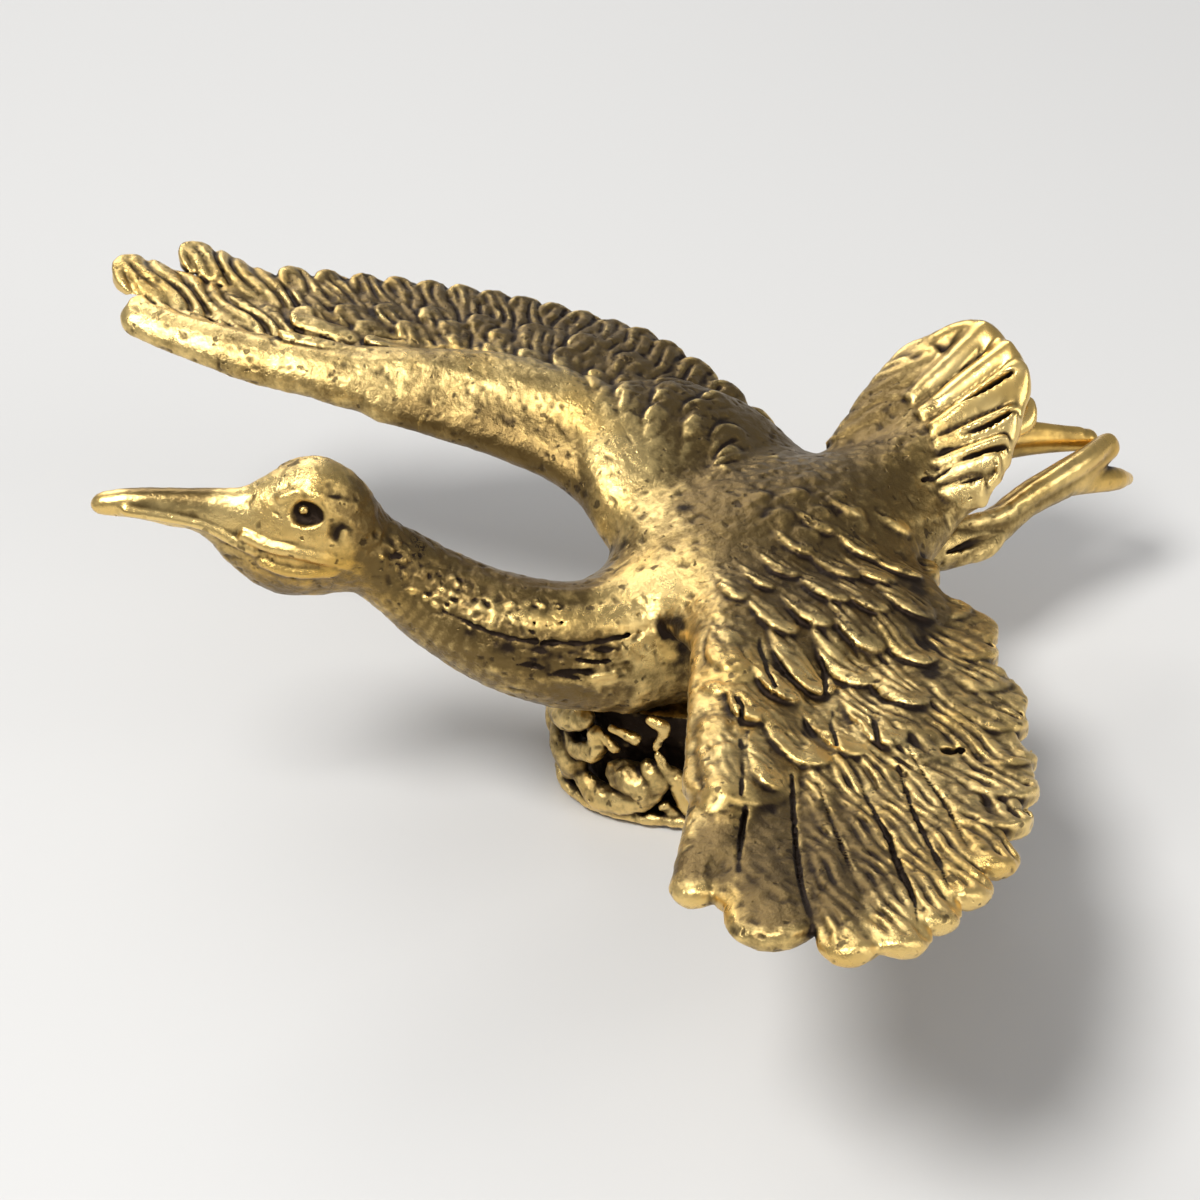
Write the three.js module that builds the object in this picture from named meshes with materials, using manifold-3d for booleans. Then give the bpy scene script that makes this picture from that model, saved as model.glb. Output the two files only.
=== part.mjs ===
// Small solid brass crane in flight, carried on a low cloud-scroll boss.
// Millimetres, +Z up. The origin is the centre of the flat underside of the boss.
// The bird flies towards -X, its left wing is on the -Y side and its right wing on the +Y side.
import * as THREE from 'three';
import { mergeVertices } from 'three/addons/utils/BufferGeometryUtils.js';
import Module from 'manifold-3d';

const wasm = await Module();
wasm.setup();

// Boss under the bird: an oval in plan that bulges into three soft lobes
const bossHeight = 6.2;
const bossLength = 16.8;
const bossWidth = 13.6;
const bossBulge = 0.09;
const bossBulgeTurn = 2.6;
const bossShoulder = 0.5;
const bossFootInset = 1.1;
const bossLipHeight = 0.9;
const scrollRows = 2;
const scrollsPerRow = 9;
const scrollThickness = 1.15;
const scrollReach = 1.3;

// Body, from the breast at the front to the rump at the back. Its underside is cut flat
// where it sits on the boss, so that much of the oval is lost below the seat.
const bodyLength = 16.5;
const bodyWidth = 11.4;
const bodyDepth = 8.7;
const bodySink = 0.9;
const breastX = -4.2;

// Neck, head and beak
const neckRootRadius = 3.35;
const neckThinRadius = 1.8;
const neckRootHeight = 10.1;
const neckReach = 12.2;
const neckDrift = 7.6;
const neckClimb = 7.6;
const headAhead = 1.75;
const headRise = 0.8;
const headLength = 6.6;
const headWidth = 5.4;
const headDepth = 7.0;
const beakLength = 7.2;
const beakRootRadius = 1.4;
const beakTipRadius = 0.38;
const eyeRadius = 0.7;

// Wings
const wingSpan = 29.5;
const wingPitch = 0.2;
const leftWingRise = 6.4;
const rightWingRise = 9.2;
const wingRootHeight = 12.6;
const leftWingRootX = -2.4;
const rightWingRootX = -3.2;
const wingSeatY = 4.4;
const wingSeatDrop = 3.5;
const wingSeatBack = 3.4;
const flightFeathers = 14;
const flightThickness = 1.15;
const flightOverlap = 1.4;
const webThickness = 1.2;
const webShare = 0.82;
const covertThickness = 1.1;
const covertOverlap = 1.1;
const covertRootLift = 0.1;
const covertTipLift = 0.75;
const armHalfWidth = 2.6;
const armFlatness = 0.68;
const armSetBack = 1.1;
const armRootLength = 2.5;
const shoulderOut = 0.04;
const shoulderHalfLength = 7;
const shoulderHalfWidth = 6.8;
const shoulderHalfThickness = 1.8;

// Tail fan
const tailLength = 9.1;
const tailSpread = 0.7;
const tailTurn = -0.19;
const tailRise = 3.4;
const tailLengthLean = 0.22;
const tailRiseLean = 0.56;
const tailFeathers = 7;
const tailThickness = 1.3;
const tailRootWidth = 7;
const tailRootDepth = 2.3;
const tailRootHeight = 12.3;
const tailRootLength = 3.2;

// Legs
const legLength = 11;
const legSpacing = 3.6;
const legDrop = 1.5;
const ankleDrop = 0.2;
const legDrift = -1.6;
const rightLegLift = 0.9;
const rightLegBow = 1.3;
const legRootHeight = 9.5;
const legRadius = 0.95;
const thighRadius = 1.45;
const toeLength = 4.4;
const toeRadius = 0.55;
const hangingToeDrop = 1.9;

// Fits: pegs and tongues in their sockets, and the solder seam between seat faces.
// A peg starts a little inside the piece that carries it, by its root.
const seam = 0.05;
const fit = 0.12;
const pegRoot = 0.5;
const bossPegRadius = 2.1;
const bossPegLength = 1.8;
const neckPegRadius = 1.5;
const neckPegLength = 2.3;
const wingTongueLength = 6.4;
const wingTongueHeight = 1.4;
const wingTongueDepth = 1.7;
const tailTongueWidth = 2.6;
const tailTongueHeight = 1;
const tailTongueDepth = 1.8;
const legPegRadius = 0.6;
const legPegLength = 1.5;

const rumpX = breastX + bodyLength;
const bodySeat = bossHeight + seam;
const bodyTop = bodySeat + bodyDepth;
const bodyBottom = bodySeat - bodySink;

const lerp = THREE.MathUtils.lerp;
const vec = (x, y, z) => new THREE.Vector3(x, y, z);

// Solids and booleans

function toSolid(geometry) {
  const bare = geometry.clone();
  bare.deleteAttribute('normal');
  bare.deleteAttribute('uv');
  const merged = mergeVertices(bare, 1e-4);
  return new wasm.Manifold(new wasm.Mesh({
    numProp: 3,
    vertProperties: new Float32Array(merged.attributes.position.array),
    triVerts: new Uint32Array(merged.index.array),
  }));
}

function toGeometry(solid) {
  const mesh = solid.getMesh();
  const geometry = new THREE.BufferGeometry();
  geometry.setAttribute('position', new THREE.Float32BufferAttribute(mesh.vertProperties, 3));
  geometry.setIndex(Array.from(mesh.triVerts));
  geometry.computeVertexNormals();
  return geometry;
}

const join = (solids) => solids.reduce((sum, next) => sum.add(next));
const cut = (solid, tools) => tools.reduce((rest, tool) => rest.subtract(tool), solid);

// A closed skin through rings of the same number of points, capped at both ends
function loft(rings) {
  const count = rings[0].length;
  const points = rings.flat();
  const index = [];
  for (let r = 0; r + 1 < rings.length; r += 1) {
    for (let k = 0; k < count; k += 1) {
      const a = r * count + k;
      const b = r * count + (k + 1) % count;
      index.push(a, b, b + count, a, b + count, a + count);
    }
  }
  [0, rings.length - 1].forEach((r) => {
    const centre = rings[r].reduce((sum, p) => sum.add(p), vec(0, 0, 0)).divideScalar(count);
    const hub = points.length;
    points.push(centre);
    for (let k = 0; k < count; k += 1) {
      const a = r * count + k;
      const b = r * count + (k + 1) % count;
      index.push(...(r === 0 ? [b, a, hub] : [a, b, hub]));
    }
  });
  let volume = 0;
  for (let i = 0; i < index.length; i += 3) {
    const [p, q, s] = [points[index[i]], points[index[i + 1]], points[index[i + 2]]];
    volume += p.dot(q.clone().cross(s));
  }
  const geometry = new THREE.BufferGeometry();
  geometry.setAttribute('position',
    new THREE.Float32BufferAttribute(points.flatMap((p) => p.toArray()), 3));
  geometry.setIndex(volume < 0 ? index.reverse() : index);
  return toSolid(geometry);
}

// An oval ring about a centre; `power` above 1 squares it off
function ovalRing(centre, side, up, halfWidth, above, below, count, power = 1) {
  return Array.from({ length: count }, (_, k) => {
    const turn = (2 * Math.PI * k) / count;
    const c = Math.cos(turn);
    const s = Math.sin(turn);
    const across = Math.sign(c) * Math.abs(c) ** (1 / power) * halfWidth;
    const rise = Math.sign(s) * Math.abs(s) ** (1 / power) * (s > 0 ? above : below);
    return centre.clone().addScaledVector(side, across).addScaledVector(up, rise);
  });
}

// A bar along a curve, with a radius for each station; `flatness` below 1 presses its height
function bar(curve, radii, sides = 8, upHint = vec(0, 0, 1), flatness = 1) {
  const rings = radii.map((radius, i) => {
    const t = i / (radii.length - 1);
    const tangent = curve.getTangentAt(t);
    const side = upHint.clone().cross(tangent).normalize();
    const up = tangent.clone().cross(side).normalize();
    const high = radius * flatness;
    return ovalRing(curve.getPointAt(t), side, up, radius, high, high, sides);
  });
  return loft(rings);
}

function block(sizeX, sizeY, sizeZ, centre) {
  const geometry = new THREE.BoxGeometry(sizeX, sizeY, sizeZ);
  geometry.translate(centre.x, centre.y, centre.z);
  return toSolid(geometry);
}

function peg(radius, length, from, direction, sides = 16) {
  const geometry = new THREE.CylinderGeometry(radius, radius, length, sides);
  geometry.translate(0, length / 2, 0);
  geometry.applyQuaternion(new THREE.Quaternion().setFromUnitVectors(vec(0, 1, 0), direction));
  geometry.translate(from.x, from.y, from.z);
  return toSolid(geometry);
}

// One feather: a thin pointed-oval blade with a raised quill line along its middle.
// `stations` are places along it, and `keel` is how much of the thickness lies below its edges.
const wholeFeather = { stations: [0, 0.35, 0.65, 0.85, 0.95, 1], keel: 0.4 };
const coveringFeather = { stations: [0, 0.5, 0.85, 1], keel: 1.3 };

function feather(from, to, normal, halfWidth, thickness, { stations, keel }) {
  const along = to.clone().sub(from);
  const side = normal.clone().cross(along).normalize();
  const up = along.clone().cross(side).normalize();
  const roundPart = Math.min(0.5, halfWidth / along.length());
  const rings = stations.map((s) => {
    const past = Math.max(0, (s - (1 - roundPart)) / roundPart);
    const round = Math.sqrt(Math.max(0.03, 1 - past * past));
    const w = halfWidth * lerp(0.62, 1, Math.min(1, s * 1.4)) * round;
    const t = thickness * lerp(1, 0.62, s) * lerp(0.5, 1, round);
    const centre = from.clone().addScaledVector(along, s);
    return [
      centre.clone().addScaledVector(side, -w),
      centre.clone().addScaledVector(side, -w * 0.55).addScaledVector(up, t * 0.36),
      centre.clone().addScaledVector(up, t * 0.6),
      centre.clone().addScaledVector(side, w * 0.55).addScaledVector(up, t * 0.36),
      centre.clone().addScaledVector(side, w),
      centre.clone().addScaledVector(side, w * 0.8).addScaledVector(up, -t * keel),
      centre.clone().addScaledVector(side, -w * 0.8).addScaledVector(up, -t * keel),
    ];
  });
  return loft(rings);
}

// Boss of curled cloud scrolls

function bossOutline(turn, grow = 0) {
  const lobe = 1 + bossBulge * Math.cos(3 * (turn - bossBulgeTurn));
  return {
    x: (bossLength / 2 + grow) * lobe * Math.cos(turn),
    y: (bossWidth / 2 + grow) * lobe * Math.sin(turn),
  };
}

function bossRing(z, grow, count = 28) {
  return Array.from({ length: count }, (_, k) => {
    const p = bossOutline((2 * Math.PI * k) / count, grow);
    return vec(p.x, p.y, z);
  });
}

function cloudScroll(turn, z, size) {
  const here = bossOutline(turn, -scrollReach * 0.85);
  const out = vec(here.x, here.y, 0).normalize();
  const along = vec(-out.y, out.x, 0);
  const curl = (a) => vec(here.x, here.y, z)
    .addScaledVector(along, size * 1.25 * Math.cos(a))
    .addScaledVector(vec(0, 0, 1), size * 0.8 * Math.sin(a));
  const open = -0.35;
  const points = [0, 0.25, 0.5, 0.75, 1].map((t) => curl(open - t * 1.35 * Math.PI));
  const radii = [0.35, 0.53, 0.62, 0.59, 0.47, 0.31].map((k) => k * scrollThickness);
  return bar(new THREE.CatmullRomCurve3(points), radii, 6, out);
}

function cloudBoss() {
  const core = loft([
    bossRing(0, -bossFootInset),
    bossRing(0.25, -0.45),
    bossRing(bossLipHeight, -0.55),
    bossRing(bossLipHeight + bossShoulder, -scrollReach),
    bossRing(bossHeight - bossShoulder, -scrollReach - 0.1),
    bossRing(bossHeight, -scrollReach - bossShoulder),
  ]);
  const scrolls = [];
  const rowHeight = (bossHeight - bossLipHeight) / scrollRows;
  for (let row = 0; row < scrollRows; row += 1) {
    const z = bossLipHeight + rowHeight * (row + 0.5);
    for (let k = 0; k < scrollsPerRow; k += 1) {
      const turn = (2 * Math.PI * (k + 0.5 * row)) / scrollsPerRow;
      scrolls.push(cloudScroll(turn, z, rowHeight * 0.42));
    }
  }
  return join([core, ...scrolls, bossPeg(0)]);
}

// Joints: each peg or tongue, drawn again larger by the fit for its socket

function bossPeg(grow) {
  return peg(bossPegRadius + grow, bossPegLength + pegRoot + grow,
    vec(0, 0, bossHeight - pegRoot), vec(0, 0, 1));
}

function neckPeg(grow) {
  return peg(neckPegRadius + grow, neckPegLength + pegRoot + grow,
    vec(breastX - pegRoot, 0, neckRootHeight), vec(1, 0, 0));
}

function wingTongue(side, grow) {
  const depth = wingTongueDepth + pegRoot + grow;
  return block(wingTongueLength + 2 * grow, depth, wingTongueHeight + 2 * grow,
    vec(wingSeatBack, side * (wingSeatY + pegRoot - depth / 2), wingRootHeight - pegRoot));
}

function tailTongue(grow) {
  const depth = tailTongueDepth + pegRoot + grow;
  return block(depth, tailTongueWidth + 2 * grow, tailTongueHeight + 2 * grow,
    vec(rumpX + pegRoot - depth / 2, 0, tailRootHeight));
}

function legPeg(side, grow) {
  return peg(legPegRadius + grow, legPegLength + pegRoot + grow,
    vec(rumpX + pegRoot, (side * legSpacing) / 2, legRootHeight), vec(-1, 0, 0), 12);
}

// Body

function bodyCore() {
  // share of the length, share of half the width, shares of the depth left off above and below
  const stations = [
    [0, 0.66, 0.16, 0.07],
    [0.12, 0.86, 0.08, 0],
    [0.3, 1, 0.02, 0],
    [0.5, 1, 0, 0],
    [0.72, 0.92, 0.05, 0.08],
    [0.88, 0.8, 0.11, 0.17],
    [1, 0.68, 0.18, 0.25],
  ];
  const skin = loft(stations.map(([along, wide, above, below]) => {
    const top = bodyTop - above * bodyDepth;
    const bottom = bodyBottom + below * (bodyDepth + bodySink);
    const mid = lerp(bottom, top, 0.55);
    return ovalRing(vec(breastX + along * bodyLength, 0, mid), vec(0, 1, 0), vec(0, 0, 1),
      (wide * bodyWidth) / 2, top - mid, mid - bottom, 24, 1.15);
  }));
  const beyond = bodyLength * 2;
  const flats = [-1, 1].map((side) => block(beyond, beyond, beyond,
    vec(0, side * (wingSeatY + beyond / 2), wingRootHeight - wingSeatDrop + beyond / 2)));
  const below = block(beyond, beyond, beyond, vec(0, 0, bodySeat - beyond / 2));
  return cut(skin, [
    ...flats, below, bossPeg(fit), neckPeg(fit), tailTongue(fit),
    wingTongue(-1, fit), wingTongue(1, fit), legPeg(-1, fit), legPeg(1, fit),
  ]);
}

// Neck, head and beak: the neck leaves the breast level, then climbs and bends to the right

function neckAndHead() {
  const root = vec(breastX - seam, 0, neckRootHeight);
  // shares of the neck's reach ahead, its drift to the right and its climb
  const route = [
    [0, 0, 0],
    [0.18, 0.01, 0.03],
    [0.38, 0.13, 0.13],
    [0.55, 0.36, 0.26],
    [0.7, 0.66, 0.46],
    [0.84, 0.87, 0.72],
    [1, 1, 1],
  ];
  const neckPoints = route.map(([ahead, drift, climb]) => (
    vec(-ahead * neckReach, drift * neckDrift, climb * neckClimb).add(root)));
  const neckLine = new THREE.CatmullRomCurve3(neckPoints);
  const slim = neckThinRadius / neckRootRadius;
  const radii = [1, 0.99, 0.96, 0.9, 0.82, 0.73, 0.65, 0.58, slim, slim, slim, slim, slim];
  const neck = bar(neckLine, radii.map((k) => k * neckRootRadius), 14);
  const behind = neckRootRadius * 4;
  const rootFlat = block(behind, behind, behind, root.clone().add(vec(behind / 2, 0, 0)));

  const forward = vec(-0.84, 0.52, 0.18).normalize();
  const side = vec(0, 0, 1).cross(forward).normalize();
  const up = forward.clone().cross(side).normalize();
  const headCentre = neckPoints[neckPoints.length - 1].clone()
    .addScaledVector(forward, headAhead)
    .addScaledVector(up, headRise);
  // place along the head, share of half the width, shares of half the depth above and below
  const skull = [
    [-0.5, 0.25, 0.25, 0.3],
    [-0.42, 0.6, 0.6, 0.6],
    [-0.22, 0.92, 0.9, 0.88],
    [0.02, 1, 1, 1],
    [0.26, 0.88, 0.84, 1.22],
    [0.42, 0.66, 0.6, 1],
    [0.52, 0.46, 0.4, 0.5],
  ];
  const rings = skull.map(([along, wide, above, below]) => ovalRing(
    headCentre.clone().addScaledVector(forward, along * headLength), side, up,
    (wide * headWidth) / 2, (above * headDepth) / 2, (below * headDepth) / 2, 14));
  [0.25, 0.6, 1].forEach((t) => {
    const radius = lerp(beakRootRadius, beakTipRadius, t);
    rings.push(ovalRing(
      headCentre.clone().addScaledVector(forward, 0.5 * headLength + t * beakLength),
      side, up, radius * 0.9, radius * 0.8, radius, 14));
  });
  const eyes = [-1, 1].map((hand) => {
    const eye = new THREE.SphereGeometry(eyeRadius, 10, 8);
    const spot = headCentre.clone().addScaledVector(side, hand * headWidth * 0.44)
      .addScaledVector(up, headDepth * 0.12);
    eye.translate(spot.x, spot.y, spot.z);
    return toSolid(eye);
  });
  return join([neck.subtract(rootFlat), loft(rings), ...eyes, neckPeg(0)]);
}

// Wings: a broad arm along the leading edge, a fan of flight feathers and rows of coverts over it.
// Places in plan are in spans, [out from the seat, back from the root of the leading edge].
// Each row runs from the wing's tip to its root, with its feathers' roots on one line and their
// tips on another. A feather is as wide as the pitch between the tips, times the row's overlap.

const wings = {
  left: {
    side: -1,
    rise: leftWingRise,
    rootX: leftWingRootX,
    shoulderBack: 0.17,
    lead: [[0, 0.02], [0.2, -0.2], [0.46, -0.36], [0.6, -0.47]],
    flight: {
      count: flightFeathers,
      roots: [[0.37, -0.28], [0.43, -0.15], [0.42, 0.03], [0.21, 0.2], [0, 0.32]],
      tips: [[0.68, -0.53], [0.83, -0.53], [0.92, -0.48], [0.95, -0.42], [0.93, -0.34],
        [0.86, -0.17], [0.72, 0], [0.55, 0.15], [0.35, 0.27], [0.08, 0.42]],
    },
    coverts: [
      {
        count: 9,
        roots: [[0.28, -0.22], [0.29, -0.12], [0.27, 0.05], [0.14, 0.24], [0, 0.33]],
        tips: [[0.54, -0.38], [0.51, -0.2], [0.52, -0.06], [0.35, 0.16], [0.12, 0.35]],
      },
      {
        count: 7,
        roots: [[0.17, -0.11], [0.12, 0.05], [0.1, 0.17], [0, 0.28]],
        tips: [[0.38, -0.21], [0.34, -0.06], [0.35, 0.03], [0.2, 0.19], [0.14, 0.27]],
      },
      {
        count: 5,
        roots: [[0.03, 0.05], [0.01, 0.17], [-0.06, 0.3]],
        tips: [[0.18, 0.01], [0.2, 0.08], [0.1, 0.22], [0.06, 0.3]],
      },
    ],
  },
  right: {
    side: 1,
    rise: rightWingRise,
    rootX: rightWingRootX,
    shoulderBack: 0.27,
    lead: [[0, 0.02], [0.14, 0.08], [0.27, 0.06], [0.42, -0.06], [0.55, -0.22], [0.8, -0.4]],
    flight: {
      count: flightFeathers,
      roots: [[0.52, -0.14], [0.55, 0], [0.46, 0.09], [0.22, 0.22], [0, 0.26]],
      tips: [[0.84, -0.42], [0.96, -0.39], [0.98, -0.25], [0.87, -0.1], [0.78, 0.1],
        [0.64, 0.29], [0.45, 0.43], [0.12, 0.49]],
    },
    coverts: [
      {
        count: 10,
        roots: [[0.58, -0.1], [0.48, 0.08], [0.29, 0.21], [0.03, 0.28]],
        tips: [[0.73, -0.16], [0.65, 0.08], [0.45, 0.31], [0.16, 0.42]],
      },
      {
        count: 9,
        roots: [[0.51, -0.05], [0.38, 0.13], [0.17, 0.22], [0, 0.26]],
        tips: [[0.64, -0.08], [0.54, 0.16], [0.3, 0.3], [0.11, 0.37]],
      },
      {
        count: 7,
        roots: [[0.43, 0.06], [0.17, 0.2], [0.01, 0.22]],
        tips: [[0.54, 0.06], [0.26, 0.26], [0.1, 0.32]],
      },
    ],
  },
};

const planCurve = (points) => new THREE.CatmullRomCurve3(
  points.map(([out, back]) => vec(out, back, 0)));

function wingPlan(wing) {
  const lead = planCurve(wing.lead);
  const steps = lead.getPoints(40);
  const leadBack = (out) => {
    const beyond = steps.find((p) => p.x >= out);
    return (beyond ?? steps[steps.length - 1]).y;
  };
  // The wing's middle skin rises outward and falls away behind the leading edge
  const place = (out, back, lift = 0) => {
    const behind = Math.max(0, back - leadBack(out));
    const rise = wing.rise * Math.max(0, out) ** 0.8;
    return vec(
      wing.rootX + back * wingSpan,
      wing.side * (wingSeatY + out * wingSpan),
      wingRootHeight + rise - wingPitch * behind * wingSpan + lift,
    );
  };
  return { lead, place };
}

function featherRow(wing, plan, row, { rootLift, tipLift, thickness, overlap, shape }) {
  const shares = Array.from({ length: row.count }, (_, k) => k / (row.count - 1));
  const roots = shares.map((t) => planCurve(row.roots).getPointAt(t));
  const tips = shares.map((t) => planCurve(row.tips).getPointAt(t));
  const normal = vec(0.15, -wing.side * 0.2, 1).normalize();
  return tips.map((tip, k) => {
    const from = plan.place(roots[k].x, roots[k].y, rootLift);
    const to = plan.place(tip.x, tip.y, tipLift);
    const near = [tips[k - 1], tips[k + 1]].filter(Boolean);
    const pitch = near.reduce((sum, p) => sum + p.distanceTo(tip), 0) / near.length;
    return feather(from, to, normal, (pitch / 2) * wingSpan * overlap, thickness, shape);
  });
}

// The skin under the feathers, from the leading edge most of the way to the tips of a row
function wingWeb(plan, row) {
  const stations = row.count + 4;
  const along = [0, 0.35, 0.7, 1].map((share) => share * webShare);
  const rings = Array.from({ length: stations }, (_, k) => {
    const t = k / (stations - 1);
    const front = plan.lead.getPointAt(1 - t);
    const tip = planCurve(row.tips).getPointAt(t);
    const edge = (share, lift) => {
      const p = front.clone().lerp(tip, share);
      return plan.place(p.x, p.y, lift);
    };
    const upper = along.map((share) => edge(share, webThickness * 0.2));
    const lower = along.map((share) => edge(share, -webThickness * 0.8));
    return [...upper, ...lower.reverse()];
  });
  return loft(rings);
}

// The flat egg where the wing meets the back
function wingShoulder(wing, plan) {
  const steps = 8;
  const rings = Array.from({ length: steps + 1 }, (_, i) => {
    const turn = lerp(0.08, 0.92, i / steps) * Math.PI;
    const out = shoulderOut - (shoulderHalfLength * Math.cos(turn)) / wingSpan;
    const wide = (shoulderHalfWidth * Math.sin(turn)) / wingSpan;
    const thick = shoulderHalfThickness * Math.sin(turn);
    const outline = ovalRing(vec(0, 0, 0), vec(0, 1, 0), vec(0, 0, 1), wide, thick, thick, 12);
    return outline.map((p) => plan.place(out, wing.shoulderBack + p.y, p.z));
  });
  return loft(rings);
}

function wingSolid(wing) {
  const plan = wingPlan(wing);
  const armShares = [1, 0.98, 0.92, 0.84, 0.76, 0.66, 0.5, 0.3];
  const armLine = armShares.map((wide, i) => {
    const p = plan.lead.getPointAt(i / (armShares.length - 1));
    return plan.place(p.x, p.y + (armSetBack * wide * armHalfWidth) / wingSpan, covertRootLift);
  });
  const inBody = armLine[0].clone().add(vec(0, -wing.side * armRootLength, 0));
  const arm = bar(new THREE.CatmullRomCurve3([inBody, ...armLine]),
    [1, ...armShares].map((k) => k * armHalfWidth), 10, vec(0, 0, 1), armFlatness);
  const flight = featherRow(wing, plan, wing.flight, {
    rootLift: covertRootLift,
    tipLift: 0,
    thickness: flightThickness,
    overlap: flightOverlap,
    shape: wholeFeather,
  });
  const coverts = wing.coverts.flatMap((row) => featherRow(wing, plan, row, {
    rootLift: covertRootLift,
    tipLift: covertTipLift,
    thickness: covertThickness,
    overlap: covertOverlap,
    shape: coveringFeather,
  }));
  const web = wingWeb(plan, wing.flight);
  const feathers = join([wingShoulder(wing, plan), arm, web, ...flight, ...coverts]);
  const beyond = 2 * wingSpan;
  const seat = block(beyond, beyond, beyond, vec(0, wing.side * (wingSeatY + seam - beyond / 2), 0));
  return feathers.subtract(seat).add(wingTongue(wing.side, 0));
}

// Tail: a fan of ridged feathers, raised towards its tips

function tailFan() {
  const rootX = rumpX + seam;
  const ring = (x, wide, deep) => ovalRing(vec(rootX + x, 0, tailRootHeight + x * 0.2),
    vec(0, 1, 0), vec(0, 0, 1), (wide * tailRootWidth) / 2, (deep * tailRootDepth) / 2,
    (deep * tailRootDepth) / 2, 14, 1.2);
  const stub = loft([
    ring(0, 1, 1),
    ring(tailRootLength / 2, 1.06, 0.9),
    ring(tailRootLength, 1.12, 0.7),
  ]);
  const feathers = Array.from({ length: tailFeathers }, (_, k) => {
    const spread = (k / (tailFeathers - 1)) * 2 - 1;
    const turn = spread * tailSpread + tailTurn;
    const reach = tailLength * (1 + tailLengthLean * spread - 0.18 * spread * spread);
    const rise = tailRise * (1 + tailRiseLean * spread - 0.48 * spread * spread);
    const from = vec(rootX + 0.8, spread * tailRootWidth * 0.28, tailRootHeight + 0.1);
    const to = vec(rootX + reach * Math.cos(turn), reach * Math.sin(turn), tailRootHeight + rise);
    const halfWidth = (tailLength * tailSpread * 1.12) / (tailFeathers - 1);
    const normal = vec(-0.2, 0, 1).normalize();
    return feather(from, to, normal, halfWidth, tailThickness, wholeFeather);
  });
  return join([stub, ...feathers, tailTongue(0)]);
}

// Legs trail under the tail, side by side, and end in a few closed toes

function leg(side) {
  const start = vec(rumpX + seam, (side * legSpacing) / 2, legRootHeight);
  const lift = side > 0 ? rightLegLift : 0;
  const bow = side > 0 ? rightLegBow : 0;
  const ankle = start.clone().add(vec(legLength, legDrift - side * 0.15, lift * 0.4 - ankleDrop));
  const shank = new THREE.CatmullRomCurve3([
    start,
    start.clone().add(vec(legLength * 0.3, legDrift * 0.2 + bow * 0.6, lift - legDrop * 0.55)),
    start.clone().add(vec(legLength * 0.65, legDrift * 0.6 + bow, lift - legDrop * 0.95)),
    ankle,
  ]);
  const knee = lerp(thighRadius, legRadius, 0.5);
  const limb = bar(shank,
    [thighRadius, thighRadius, knee, legRadius, legRadius * 0.9, legRadius * 1.1, legRadius], 10);
  const toes = [-1, 0, 1].map((n) => {
    const hang = side < 0 && n < 0 ? hangingToeDrop : 0;
    const line = new THREE.CatmullRomCurve3([
      ankle.clone().add(vec(-0.6, 0, 0)),
      ankle.clone().add(vec(toeLength * 0.45, n * toeRadius * 0.9 - 0.1, 0.15)),
      ankle.clone().add(vec(toeLength * (1 - 0.15 * Math.abs(n)), n * toeRadius * 1.3 - 0.2, -hang - 0.1)),
    ]);
    return bar(line, [1.1, 1, 0.85, 0.5].map((k) => k * toeRadius), 6);
  });
  const reach = legLength * 2;
  const behind = block(reach, reach, reach, start.clone().add(vec(-reach / 2, 0, 0)));
  return join([limb, ...toes]).subtract(behind).add(legPeg(side, 0));
}

const crane = new THREE.Group();

function add(name, solid, color, roughness) {
  const material = new THREE.MeshStandardMaterial({ color, roughness, metalness: 1 });
  const mesh = new THREE.Mesh(toGeometry(solid), material);
  mesh.name = name;
  crane.add(mesh);
}

add('cloud_base', cloudBoss(), '#8a6a2c', 0.45);
add('body', bodyCore(), '#8f7433', 0.35);
add('neck_and_head', neckAndHead(), '#a8893f', 0.3);
add('left_wing', wingSolid(wings.left), '#967a38', 0.35);
add('right_wing', wingSolid(wings.right), '#967a38', 0.35);
add('tail_fan', tailFan(), '#a98c45', 0.32);
add('left_leg', leg(-1), '#9b7d38', 0.35);
add('right_leg', leg(1), '#9b7d38', 0.35);

export default crane;
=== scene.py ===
import math

import bpy
import numpy as np
from mathutils import Matrix, Vector


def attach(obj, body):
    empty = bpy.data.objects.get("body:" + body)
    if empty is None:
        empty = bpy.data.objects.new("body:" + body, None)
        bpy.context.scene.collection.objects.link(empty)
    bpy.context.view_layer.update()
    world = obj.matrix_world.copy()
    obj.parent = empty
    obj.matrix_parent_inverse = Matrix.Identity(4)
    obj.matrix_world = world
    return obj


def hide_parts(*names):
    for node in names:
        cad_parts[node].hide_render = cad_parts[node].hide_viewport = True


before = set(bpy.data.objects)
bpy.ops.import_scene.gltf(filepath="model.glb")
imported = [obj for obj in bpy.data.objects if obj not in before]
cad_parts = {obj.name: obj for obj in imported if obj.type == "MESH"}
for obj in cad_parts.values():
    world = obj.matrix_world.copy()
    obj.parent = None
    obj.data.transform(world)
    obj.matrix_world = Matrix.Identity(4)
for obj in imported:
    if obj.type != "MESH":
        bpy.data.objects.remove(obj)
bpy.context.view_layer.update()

# Lengths are in millimetres in the row frame: head to -X, near wing to -Y, underside of the boss at Z 0

MM = 0.001

# Sizes shared with the solid part

BREAST_X = -4.2
RUMP_X = 12.3
WING_ROOT_Y = 4.4
BODY_SEAT = 6.25
BOSS_LENGTH = 16.8
BOSS_WIDTH = 13.6
BOSS_BULGE = 0.09
BOSS_BULGE_TURN = 2.6
WING_SPAN = 29.5
WING_PITCH = 0.2
WING_ROOT_HEIGHT = 12.6
NECK_ROOT_HEIGHT = 10.1

# Grid steps of the cast surfaces, and the distance that an empty grid holds

WING_STEP = 0.13
BODY_STEP = 0.13
HEAD_STEP = 0.11
BOSS_STEP = 0.12
LEG_STEP = 0.1
FAR = 9.0

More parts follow.
